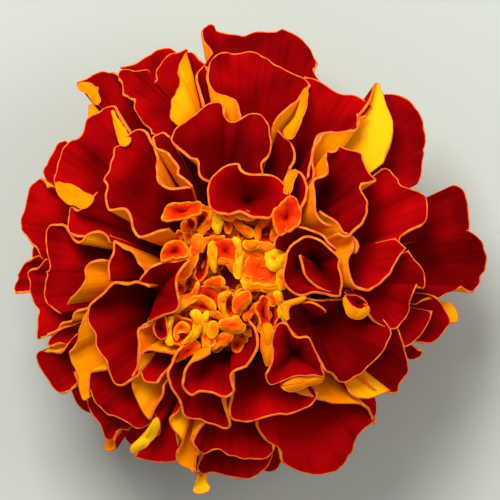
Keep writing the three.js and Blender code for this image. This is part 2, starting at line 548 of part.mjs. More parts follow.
function stripSolid(upper, lower, i) {
  const steps = upper[i].length - 1;
  const points = [];
  const index = (k, j, under) => 4 * j + 2 * k + under;
  for (let j = 0; j <= steps; j += 1) {
    points.push(upper[i][j], lower[i][j], upper[i + 1][j], lower[i + 1][j]);
  }
  const triangles = [];
  const quad = (a, b, c, d) => triangles.push([a, b, c], [a, c, d]);
  for (let j = 0; j < steps; j += 1) {
    quad(index(0, j, 0), index(0, j + 1, 0), index(1, j + 1, 0), index(1, j, 0));
    triangles.push([index(0, j, 1), index(1, j + 1, 1), index(0, j + 1, 1)]);
    triangles.push([index(0, j, 1), index(1, j, 1), index(1, j + 1, 1)]);
    quad(index(0, j, 1), index(0, j + 1, 1), index(0, j + 1, 0), index(0, j, 0));
    triangles.push([index(1, j, 1), index(1, j + 1, 0), index(1, j + 1, 1)]);
    triangles.push([index(1, j, 1), index(1, j, 0), index(1, j + 1, 0)]);
  }
  quad(index(0, 0, 0), index(1, 0, 0), index(1, 0, 1), index(0, 0, 1));
  quad(index(0, steps, 1), index(1, steps, 1), index(1, steps, 0), index(0, steps, 0));
  return solidFromTriangles(points, triangles);
}

// The hull of points, grown by a distance on every side

function grownHull(points, distance) {
  const signs = [-1, 1];
  return wasm.Manifold.hull(points.flatMap(({ x, y, z }) => signs.flatMap((i) => signs.flatMap((j) => (
    signs.map((k) => [x + i * distance, y + j * distance, z + k * distance])
  )))));
}

// The narrow part of a cup-shaped petal, from its claw to its bottom

function stalkSolid({ bottom, claw }) {
  const end = bottom.clone().setZ(bottom.z - BLADE);
  return grownHull([placeAtClaw(claw, Math.atan2(bottom.y, bottom.x)), end], STALK);
}

function petalSolid(petal) {
  const upper = petalRibs(petal);
  const lower = petalUnderside(upper, petal.closed);
  const strips = upper.slice(1).map((_, i) => stripSolid(upper, lower, i));
  return wasm.Manifold.union(petal.bottom ? [...strips, stalkSolid(petal)] : strips);
}

// The bundle of claws: it fills the cup, and every petal is rooted in it

function cupRadius(height) {
  const over = height - CUP_BASE;
  const next = CUP_PROFILE.findIndex(([, at]) => at >= over);
  if (next < 1) {
    return CUP_PROFILE[next < 0 ? CUP_PROFILE.length - 1 : 0][0];
  }
  const [[radiusBelow, below], [radiusAbove, above]] = CUP_PROFILE.slice(next - 1, next + 1);
  return THREE.MathUtils.mapLinear(over, below, above, radiusBelow, radiusAbove);
}

function clawBundle() {
  const bottom = CUP_BASE + CUP_WALL + CLEARANCE + RECEPTACLE_HEIGHT + CLEARANCE;
  const inside = (height) => cupRadius(height) - CUP_WALL - CLEARANCE - CUP_RIDGE;
  return turnedSolid([
    [0, bottom],
    [inside(bottom), bottom],
    [inside(CUP_WAIST), CUP_WAIST],
    [inside(CUP_TIP), CUP_TIP + CLEARANCE],
    ...BUNDLE_HEAD,
  ]);
}

// Disc florets: funnels from the cone's middle to their rims, each with a throat in it

function discHeight(reach) {
  return DISC_HEIGHT - DISC_FALL * reach;
}

function discFloret([, lift, rimText, manner], grown) {
  const { rim, bottom } = readRow(lift, rimText, manner, discHeight);
  const root = placeAtClaw(DISC_CLAW, Math.atan2(bottom.y, bottom.x));
  return wasm.Manifold.union(rim.slice(1).map((point, i) => grownHull([root, bottom, rim[i], point], grown)));
}

function discSolids(grown) {
  const plug = DISC_PLUG.map(([radius, height], i) => [
    radius > 0 ? radius + grown : 0,
    height + (i < 2 ? -grown : grown),
  ]);
  return [turnedSolid(plug, DISC_PLUG_SIDES), ...DISC_FLORETS.map((floret) => discFloret(floret, grown))];
}

// The cup of joined bracts, each with a ridge down its middle and a pointed tip

function involucreSolid() {
  const rings = [
    ...CUP_PROFILE.map(([radius, over]) => ({ radius, over, wall: 0 })),
    ...CUP_PROFILE.slice(1).reverse().map(([radius, over]) => ({ radius, over, wall: CUP_WALL })),
    { radius: CUP_PROFILE[0][0], over: CUP_WALL, wall: CUP_WALL },
    { radius: CUP_HOLE, over: CUP_WALL, wall: 0 },
    { radius: CUP_HOLE, over: 0, wall: 0 },
  ];
  const topOver = CUP_PROFILE.at(-1)[1];
  const points = [];
  for (const { radius, over, wall } of rings) {
    for (let k = 0; k < CUP_SIDES; k += 1) {
      const turn = (2 * Math.PI * k) / CUP_SIDES;
      const bract = Math.abs(Math.cos((CUP_BRACTS * turn) / 2));
      const ridge = radius > CUP_HOLE && wall === 0 ? CUP_RIDGE * bract : 0;
      const notch = over === topOver ? CUP_NOTCH * (1 - bract) : 0;
      const reach = radius - wall + ridge;
      points.push(new THREE.Vector3(reach * Math.cos(turn), reach * Math.sin(turn), CUP_BASE + over - notch));
    }
  }
  const triangles = [];
  const count = rings.length;
  for (let j = 0; j < count; j += 1) {
    for (let k = 0; k < CUP_SIDES; k += 1) {
      const next = (k + 1) % CUP_SIDES;
      const a = j * CUP_SIDES + k;
      const b = j * CUP_SIDES + next;
      const c = ((j + 1) % count) * CUP_SIDES + next;
      const d = ((j + 1) % count) * CUP_SIDES + k;
      triangles.push([a, b, c], [a, c, d]);
    }
  }
  return solidFromTriangles(points, triangles);
}

// The stem's end, its swelling under the cup, and the receptacle on it inside the cup

function peduncleSolid() {
  const floor = CUP_BASE + CUP_WALL + CLEARANCE;
  return turnedSolid([
    [0, STEM_END],
    [STEM_RADIUS, STEM_END],
    [STEM_RADIUS, STEM_END + STEM_STRAIGHT],
    [STEM_SWELLING, CUP_BASE - CLEARANCE - SWELLING_SIDE],
    [STEM_SWELLING, CUP_BASE - CLEARANCE],
    [STEM_NECK, CUP_BASE - CLEARANCE],
    [STEM_NECK, floor],
    [RECEPTACLE_RADIUS, floor],
    [RECEPTACLE_RADIUS + RECEPTACLE_BULGE[0], floor + RECEPTACLE_BULGE[1]],
    [0, floor + RECEPTACLE_HEIGHT],
  ]);
}

// Assembly

const random = seededRandom(SEED);
const drooping = DROOPING_WHORLS.flatMap((whorl) => droopingPetals(whorl, random));
const petals = [...PETALS.map(readPetal), ...drooping];
const head = joined([clawBundle(), ...petals.map(petalSolid)]);
const pockets = wasm.Manifold.union(discSolids(CLEARANCE));
const disc = joined(discSolids(0));

const flower = new THREE.Group();
flower.add(meshFromSolid("ray_florets", joined([head.subtract(pockets)]), PETAL_RED));
flower.add(meshFromSolid("disc_florets", disc, DISC_ORANGE));
flower.add(meshFromSolid("involucre", involucreSolid(), CUP_GREEN));
flower.add(meshFromSolid("peduncle", peduncleSolid(), STEM_GREEN));

const box = new THREE.Box3().setFromObject(flower);
const middle = box.getCenter(new THREE.Vector3());
flower.position.set(-middle.x, -middle.y, -box.min.z).divideScalar(GRID).round().multiplyScalar(GRID);

export default flower;
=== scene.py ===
import math
import random
from functools import partialmethod

import bpy
import numpy as np
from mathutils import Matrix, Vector


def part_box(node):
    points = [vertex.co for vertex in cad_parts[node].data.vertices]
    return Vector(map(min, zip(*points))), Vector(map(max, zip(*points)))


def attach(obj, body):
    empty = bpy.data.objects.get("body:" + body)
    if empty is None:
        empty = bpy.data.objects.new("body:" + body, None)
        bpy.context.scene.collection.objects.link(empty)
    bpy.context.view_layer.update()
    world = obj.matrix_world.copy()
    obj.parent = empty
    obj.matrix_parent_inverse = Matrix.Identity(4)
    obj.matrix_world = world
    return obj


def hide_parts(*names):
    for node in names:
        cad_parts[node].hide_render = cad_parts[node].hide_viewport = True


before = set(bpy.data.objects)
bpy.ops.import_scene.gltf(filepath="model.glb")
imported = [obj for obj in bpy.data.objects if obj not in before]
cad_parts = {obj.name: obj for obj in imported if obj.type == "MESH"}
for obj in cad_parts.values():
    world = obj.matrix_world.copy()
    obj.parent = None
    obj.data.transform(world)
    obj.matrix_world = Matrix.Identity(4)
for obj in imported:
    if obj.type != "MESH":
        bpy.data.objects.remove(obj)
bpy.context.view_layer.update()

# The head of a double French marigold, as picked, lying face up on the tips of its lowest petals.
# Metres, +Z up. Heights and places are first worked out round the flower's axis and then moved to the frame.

# Driving dimensions

MM = 1e-3
TENTH = 1e-4  # the tables below are in tenths of a millimetre
SQUARE_AXIS = np.array([235, 278])  # where the flower's axis stands on the tables' square, Y down
SQUARE_MIDDLE = np.array([250, 250])  # what the camera looks at
SQUARE_SIDE = 50 * MM

DOME_TOP = 27 * MM  # height of the dome of petal rims at the axis
DOME_EDGE = 13 * MM  # and at its edge
DOME_RADIUS = 24.5 * MM
DOME_POWER = 2.2

BLADE = 0.2 * MM  # thickness of a petal
CLAW_WIDTH = 1.6 * MM  # width of a petal at its root
CLAW_INNER = 1.7 * MM  # distance of the innermost roots from the axis
CLAW_SPREAD = 0.11  # how much farther out a petal is rooted, as a share of its reach
CLAW_HEIGHT = 17 * MM  # height of the innermost roots
CLAW_DROP = 0.04  # how much lower a root is, as a share of the petal's reach
SAG_INNER = 1.2 * MM  # a rib that ends near the axis hangs this much in its middle,
ARCH_OUTER = 2.4 * MM  # and one that ends at the dome's edge is arched this much
BOW_REACHES = (6 * MM, DOME_RADIUS)  # where those two end
SIDE_DROP = 0.5 * MM  # how much lower a petal's rim is at its two ends,
SIDE_LENGTH = 2.5 * MM  # and how far along the rim that reaches

THROAT = 0.02 * MM  # radius of a cup-shaped petal's bottom
FLARE = 0.5 * MM  # how far the ribs of a cup are arched
STALK = 0.5 * MM  # radius of a cup's stalk at the claw
STALK_SIDES = 12
# A stalk is painted in full shade, by its light and its depth, and is far from any rim
STALK_LOOK = dict(to_rim=9, along=0, outward=0, light=0, depth=4, upper=1, tone=0.5)
CUP_PAINTED_LIGHT = 0.4  # share of painted light at a cup's bottom, which is painted in part shade; a claw has none, and is painted in full shade

CURVE_STEPS = 12  # steps on the curve of a rim from one point of its row to the next
FEWEST_RIBS = 10
RIB_CROWDING = 1.8  # over 1, a rib's points are closer together near the rim
BELLY = 0.3  # height of the waves in a petal's middle beside those of its rim, which are half as long
MARGIN_START = 0.8  # the gold edge runs down a petal's sides to this share of its ribs,
MARGIN_INSET = 0.05 * MM  # and is this much narrower there
JOIN_LENGTH = 1 * MM  # a rim that closes on itself has its waves fade out this near to its join

# How petals, disc florets and the small florets between those are made: the distance between ribs and the
# number of steps in one, the height and length of the waves along the rim, of the small creases beside it and
# of its teeth, the radius of its bead, and the length of a rib that has all its arch and waves
PETAL_MAKE = dict(
    rim_step=0.33 * MM, rib_steps=22, ruffle=0.5 * MM, ruffle_length=3.2 * MM, crinkle=0.10 * MM,
    crinkle_length=1.1 * MM, toothing=0.10 * MM, toothing_length=0.8 * MM, bead=0.04 * MM, full_rib=4 * MM,
)
FLORET_MAKE = dict(
    rim_step=0.14 * MM, rib_steps=13, ruffle=0.26 * MM, ruffle_length=1.3 * MM, crinkle=0.12 * MM,
    crinkle_length=0.5 * MM, toothing=0.15 * MM, toothing_length=0.5 * MM, bead=0.03 * MM, full_rib=1.2 * MM,
)
FILLER_MAKE = dict(FLORET_MAKE, rim_step=0.2 * MM, rib_steps=10)

# How light a petal's colour is, from 0 to 1. The other petals are drawn a usual tone.
USUAL_TONES = (0.3, 0.7)
# The low tones of "n inner", "e cup upper", "e cup lower" and "se" are partly those cups' own colour and
# partly painted shade inside them
TONES_AND_PAINTED_SHADE = {
    "n back": 0, "n inner": 0, "n crest": 1, "n crest lining": 0, "n east fold": 0.2, "ne peak west": 0.4,
    "ne back": 0.2, "e back": 0, "e cup upper": 0, "e cup lower": 0.1, "se": 0, "se lip": 0.6,
    "se under": 0.2, "s east left": 0, "s east fold": 0, "s east back": 0.9, "sw": 1, "sw crest": 0.3,
    "w far": 0.6,
}
TONE_SHIFT = 40  # how far a tone of 1 moves a petal's veins along its rim, in millimetres

# Whorls of drooping petals under the ones that the table holds, in millimetres: their number, the distance of
# their tips from the axis, the height of the tips and how much higher the others end, their width, the arch
# of their ribs, the turn of the first one in radians, and which ones end lowest
DROOPING_WHORLS = [
    dict(petals=11, reach=20, height=8.5, spread=2, width=10.5, arch=3.2, turn=0.2, lowest_every=2),
    dict(petals=12, reach=16, height=0, spread=2.2, width=8.5, arch=4.2, turn=0, lowest_every=3),
]
DROOPING_RAISE = 0.6  # what all tips are raised by: these petals are as thick as this in the solids
DROOPING_CLAW = (4.1 * MM, 16.4 * MM)  # distance from the axis, height
DROOPING_STRETCHES = 4  # of each rim
DROOPING_ROUNDING = 0.25  # how much shorter a petal is at its sides, as a share of its reach
DROOPING_TROUGH = 2.2 * MM  # how much higher its sides are than its middle
DROOPING_TURNS = (0, 0.4)  # where between its neighbours a petal is drawn to stand,
DROOPING_SPREADS = (0.3, 1)  # which share of the spread it has
DROOPING_TROUGHS = (0.8, 1.2)  # and of the trough
SEED = 7

# The bundle of claws, the cup and the stem, in millimetres. A profile holds radii and heights.
CLAWS_PROFILE = [
    (3.5, 5), (3.9, 9), (4.0, 14.8), (5.6, 15.6), (7.4, 18), (7.6, 20.6), (6, 22), (3, 22.4), (0.01, 22),
]
CLAWS_FLUTES = (15, 0.05, np.sin)  # their number, and their depth as a share of the radius

CUP_BASE = 2.3  # height of its floor
CUP_WALL = 0.8
CUP_NOTCH = 1.4  # depth of the notches between the bracts
CUP_NOTCH_POWER = 6  # over 1, the notches keep to the top of the cup
CUP_BRACTS = 8
CUP_RIDGE = 0.25  # how far the middle of each bract stands out
CUP_RIDGE_MIDDLE = 0.35  # the profile lies at this share of that
CUP_RIDGE_START = 0.25  # the ridges grow up to this share of the cup's height
CUP_PLAIN = 2  # nothing stands out up to this radius
CUP_HOLE = 1.8  # radius of the hole that the stem comes through
CUP_PROFILE = [(3.6, 0), (4.5, 1.6), (5.0, 5), (5.1, 9), (5.4, 12.3)]  # heights over its floor
CUP_LEVELS = 26
CUP_SIDES = 160

STEM_END = 0.4  # height of its cut end, just over the surface
STEM_PROFILE = [(0.01, 0.15), (0.5, 0.1), (0.9, 0), (1.25, 0), (1.3, 0.05), (1.32, 0.4)]  # over the cut
# The stem's swelling and the receptacle on it, with heights over the cup's floor
SWELLING_PROFILE = [
    (1.7, -1.0), (2.15, -0.75), (2.3, -0.5), (2.25, -0.3), (1.45, -0.3), (1.45, 1.1), (2.4, 1.1), (2.8, 1.7),
    (0.01, 2.4),
]
STEM_RIBS = (10, 0.03, np.cos)  # as CLAWS_FLUTES
LATHE_SIDES = 64

# Petals. A row holds the petal's name, the height of its rim over the dome, and its rim from one root to
# the other, all in tenths of a millimetre: "x,y" or "x,y,lift". Where a rim runs back, the petal is folded
# over and shows its yellow underside. A petal marked "turned" is twisted, and shows it all over, and a
# "bright" one is a lighter yellow there. One marked "cup x,y,lift" opens like a funnel from that place, and
# a rim that ends where it begins goes all round it.
# A "bright" petal's lighter yellow is partly its own colour and partly painted light on its underside.

PETALS = [
  # north
  ["n back", -8, "203,108 198,90 197,74 206,61 211,50 202,37 202,29 209,21 217,28 242,32 255,28 275,30 "
    "283,28 298,38 310,48 315,57 313,66 319,81"],
  ["n", 2, "242,118,8 236,101,10 227,96,8 215,91,2 209,77 207,67 212,59 222,53 237,50 250,50 259,53 272,62 "
    "293,72 304,77 308,84 296,99,8 285,109,10 275,116,10 271,123,8"],
  ["n east fold", 4, "306,88 305,100 304,113 296,130 288,140 285,133 293,122 299,110 303,98 306,88",
    "turned cup 297,118,2"],
  ["n inner", 8, "211,178 202,174 199,159 190,158 179,152 172,145 171,138 175,130 185,123 200,111 210,104 "
    "219,102 223,106 225,117 233,123 242,118 251,114 260,115 268,123 270,129 269,151 262,163 263,174",
    "cup 224,186,-45"],
  ["n crest", 12, "229,215 219,214 212,207 210,191 211,180 217,173 227,165 240,163 246,171 257,175 266,177 "
    "276,180 283,186 288,194 282,203 274,210 270,219 257,219 243,216 229,215", "cup 248,203,-55"],
  ["n strip", -2, "271,123 276,130 288,140 295,153 296,162 293,170"],
  ["n crest east", 6, "283,196 284,178 291,170 301,171 307,181 308,196 303,210"],
  ["n crest lining", 8, "284,194 285,180 290,173 296,172 293,181 291,193 284,194", "turned cup 289,184,1"],
  # north east
  ["ne", -4, "305,75 319,80 332,88 342,93 354,95 364,101 370,107"],
  ["ne peak", 4, "384,164 392,139 394,125 388,106 383,92 380,81 376,89 370,107 361,117 359,129 348,132 "
    "325,134 319,143 315,154 310,178", "turned bright"],
  ["ne peak west", 5, "366,112 361,118 359,129 348,132 325,134 319,143 315,154 310,178", "turned"],
  ["ne cup", 10, "333,224 320,213 317,192 317,182 324,177 327,171 324,159 325,149 331,149 337,144 345,147 "
    "362,154 365,164 370,173 376,181 364,186 362,191 369,201 369,210 366,223 359,231 347,236 338,232"],
  ["ne fold", 6, "319,211 326,218 335,225 341,235 350,238 356,245 353,252", "turned"],
  ["ne back", -10, "386,92 394,91 402,94 411,102 420,117 425,131 426,144 424,159 422,176 417,185"],
  # east
  ["e upper", 0, "383,169 391,169 397,178 402,185 415,189 424,194 428,203 428,210 425,223 415,227 402,234 "
    "398,242 394,246"],
  ["e middle", 5, "396,238 406,249 399,260 393,270 387,278 377,284 368,287 359,284 354,280 351,268 350,259 "
    "353,250 351,242 345,237"],
  ["e back", -8, "457,183 466,189 471,200 472,214 473,227 469,229 479,237 485,245 492,262 486,275 481,286 "
    "474,291 461,291 452,294 443,293 435,295 426,299 415,305"],
  ["e lower", 0, "409,250 421,266 425,276 423,289 413,289 410,300 411,311 404,321 398,327 389,329 382,326 "
    "374,319 369,308 367,300 360,296 352,295 345,291", "cup 352,280,-35"],
  ["e under", -7, "347,282 353,293 360,302 350,303,-10 335,302,-16 322,301,-20"],
  ["e lens", 2, "343,297 348,303 355,308 363,308 367,303 370,309 366,315 360,318 353,318 346,313 343,305 "
    "343,297", "turned cup 357,313,2"],
  ["e lens inner", 1, "344,295 352,295 359,296 365,299 368,304 364,309 356,309 349,304 344,295",
    "cup 358,303,-9"],
  ["e cup upper", 10, "273,248 277,238 289,229 298,228 311,230 322,236 327,243 335,252", "cup 315,262,-62"],
  ["e cup lower", 8, "288,250 285,260 284,276 290,288 301,294 314,291 325,295 338,298 342,293 342,282 "
    "338,266 339,259 330,251 318,242 306,239 297,244 288,250", "cup 315,262,-60"],
  ["e cup inner", 2, "297,256 299,266 304,277 313,286 325,293 337,297", "cup 322,268,-50"],
  # south east
  ["se back", -8, "428,294 437,298 445,309 451,321 446,330 438,340 430,344 419,343"],
  ["se tip", -10, "447,305 454,307 459,312 459,321 451,324", "turned"],
  ["se back lower", -7, "432,312 429,321 421,335 412,344 403,347 398,345"],
  ["se small", -14, "410,344 420,348 424,352 420,358 408,358"],
  ["se", 2, "328,299,-8 347,298,-16 362,303,-16 376,312,-14 389,329 388,337 383,347 375,359 364,371 354,378 "
    "344,382 334,375 321,369,-2 312,353,-5 304,341,-8 297,338,-6 291,330 286,319 285,308 293,301 305,298 "
    "316,299,-4 328,299,-8", "cup 312,322,-40"],
  ["se crease", 4, "302,299 310,300 318,304 326,311", "cup 312,320,-38"],
  ["se lip", 6, "281,303 288,300 296,299 306,296 300,301 292,304 287,311 287,320 283,312 281,303",
    "turned cup 286,305,1"],
  ["se under", -4, "398,328 404,345 409,362 407,375 400,386 398,392 389,393 376,392 370,383 364,373"],
  ["se margin", -2, "389,393 376,397 360,400 350,396 344,384", "turned"],
  # south
  ["s east", 4, "324,376 312,376 295,376 282,381 271,384 265,375 268,368 272,356 272,340 278,325 287,324 "
    "294,336 308,336 317,352 322,368 324,376", "cup 293,352,-35"],
  ["s east left", 4, "262,327 267,323 272,328 271,342 272,355 268,367 264,362 261,348 262,327",
    "turned cup 267,345,1"],
  ["s east under", 0, "317,390 318,396 312,403 298,410 284,415 266,418 252,420 240,420 234,416 233,407 "
    "236,396"],
  ["s east fold", 2, "281,386 292,379 306,377 318,376 325,377 319,384 308,385 300,389 290,390 281,386",
    "turned cup 303,382,1"],
  ["s east margin", -4, "378,421 368,412 352,405 335,401 318,397 300,391 282,384", "turned"],
  ["s east back", -8, "375,421 367,426 360,432 357,441 349,457 339,470 329,474 315,476 303,473 288,467 "
    "283,459 283,450 272,443 260,428 258,419"],
  ["s crest", 12, "209,350 191,362 183,376 183,387 191,396 201,392 214,393 226,397 236,390 234,374 244,368 "
    "248,366 258,350 259,339 256,327 251,321"],
  ["s under", -5, "273,447 272,453 263,459 244,459 228,455 217,450 205,454 197,449 189,438 197,427 205,421"],
  ["s back", -11, "273,455 268,466 255,477 245,479 225,475 210,474 201,474 196,465 198,453"],
  ["s tip", -10, "205,473 207,481,5 210,490,12 201,494,16 194,492,12 195,482,5 196,473",
    "turned bright cup 201,473,-13"],
  # south west
  ["sw crest", 3, "222,398 228,416 230,427 223,429 215,425 201,419 188,416 180,406 169,389 164,374 169,360 "
    "183,344"],
  ["sw strip", 3, "205,421 189,438 198,452 197,458 196,474 188,469 178,462 175,450 179,440 172,426 172,418 "
    "179,411", "turned"],
  ["sw small", 2, "165,375 159,385 147,384 139,374 143,360 151,352 175,349"],
  ["sw dark", 1, "156,320 160,316 166,316 167,326 167,336 161,339 156,333 154,326 156,320",
    "cup 161,328,-12"],
  ["sw margin", -2, "161,385 159,400 151,421 143,412 135,398 132,382 136,362 139,331,-5 155,322,-9",
    "turned"],
  ["sw", -5, "181,428 177,441 175,461 143,459 135,456 142,446 152,438 158,425 153,406"],
  ["sw edge", 3, "158,417 160,425 156,436,3 150,443,5 140,451,9 132,453,12 131,447,10 139,439,4 147,430 "
    "152,421 158,417", "turned bright cup 147,438,2"],
  ["sw back", -8, "151,421 143,427 135,428 128,422 118,417 108,415 96,403 91,390 89,373"],
  ["sw low", -12, "129,430 118,430 112,440 105,438 99,424 89,411 86,398"],
  ["sw low tip", -12, "114,438 112,448 104,452 103,444", "turned"],
  # west
  ["w inner", 8, "150,324 156,321 167,313 176,309 179,302 180,283 183,274 191,261 187,258 176,260 161,261 "
    "151,265 145,271 140,279", "cup 158,292,-45"],
  ["w big", 4, "157,321 145,326 138,331 137,360 137,373 128,381 121,385 114,381 110,370 106,360 97,348 "
    "95,336 88,320 88,306 92,298 101,291 109,285 116,282 126,284 136,281 144,283 151,286"],
  ["w fold", -2, "110,372 96,373 90,374 89,382 89,400 83,400 80,393 77,376 71,362 69,351 77,338 81,322 "
    "87,310", "turned"],
  ["w upper", 2, "139,279 144,273 142,268 137,264 133,255 125,249 116,239 112,241 111,252 107,264 107,280"],
  ["w outer", -3, "68,311 63,315 58,313 48,305 44,295 44,286 47,275 45,272 49,268 48,257 45,243 47,231 "
    "51,225 57,224 64,226 69,233 76,238 83,240 92,238 102,237 110,240"],
  ["w outer fold", 0, "68,311,-10 67,306,-8 74,295,-4 80,288 85,280 86,270 92,264 106,260", "turned"],
  ["w back", -7, "87,309 75,313 71,322 62,326 55,335 41,341 37,325 37,312 30,297 29,284 27,272 39,266 "
    "46,259"],
  ["w tip", -10, "27,289 14,290 11,288 16,280 16,274 24,263 38,256"],
  ["w low", -8, "74,372 76,382 71,393 61,394 52,390 47,382 41,372 37,362 37,351 47,350 58,350 68,344 76,336"],
  ["w small", -9, "68,346 49,347 49,340 62,330 75,325"],
  ["w far", -7, "42,259 38,250 31,243 24,234 18,224 18,217 23,204 26,190 31,182 38,180 48,185 54,186"],
  # north west
  ["nw inner", 8, "170,229 157,232 146,236 140,237 134,230 130,220 126,212 119,211 108,213 105,205 105,193 "
    "107,184 105,178 111,170 113,159 115,148 120,145 126,137 134,131 140,130 147,135 150,146 155,160 156,170 "
    "162,181 175,187 193,186"],
  ["nw under", 1, "111,242 108,234 102,228 93,229 87,233 83,238 78,237 72,232 68,223 68,215 70,206 80,208 "
    "90,200 98,191 104,196"],
  ["nw", -2, "92,200 75,200 60,192 54,184 55,170 61,151 66,144 72,139 81,137 84,130 88,120 96,113 105,106 "
    "112,110 116,117 122,125"],
  ["nw fold", 3, "56,183 66,184 76,187 84,192 94,198 92,205 85,209 76,206 69,205 62,198 56,183",
    "turned cup 76,197,1"],
  ["nw margin", 3, "112,110 119,119 126,131 131,141 124,147 118,138 114,124 112,110", "turned cup 121,131,1"],
  ["nw back", -8, "51,184 45,179 44,170 49,159 57,145 64,140"],
  ["nw small", 6, "193,186,5 178,175,8 180,167,10 177,158,10 171,151,8 154,148,4 152,139 154,136 163,132 "
    "171,135"],
  ["nnw", -1, "152,135 150,128 142,120 135,112 135,105 129,102 123,97 122,86 117,77 121,71 129,69 136,71 "
    "147,70 152,72 157,82 156,70 161,62 169,56 181,52 188,49 184,54,4 178,66,8 181,75,10 180,85,12 173,97,14 "
    "171,106,15 171,117,15 176,125,12", "cup 205,136,-30"],
  ["nnw back", -9, "121,66 129,65 138,64 147,57 158,49 168,45 172,48 177,51 185,50 190,56"],
  ["nnw strip", -8, "184,52 190,50 196,56 203,62 206,75"],
  ["nw outer", -6, "99,105 96,95 95,87 86,84 75,84 85,78 95,72 105,70 116,73 128,80"],
  ["nw lap", -3, "76,84 86,83 94,86 97,93 99,105 93,100 86,93 76,84", "turned cup 91,91,2"],
  ["nw curl", -6, "88,119 88,106 95,105 98,119", "turned"],
]

# Disc florets. A row holds the floret's name, the height of its rim over the disc, its colour from 0, red, to
# 10, yellow, and then its rim, as in a petal's row.

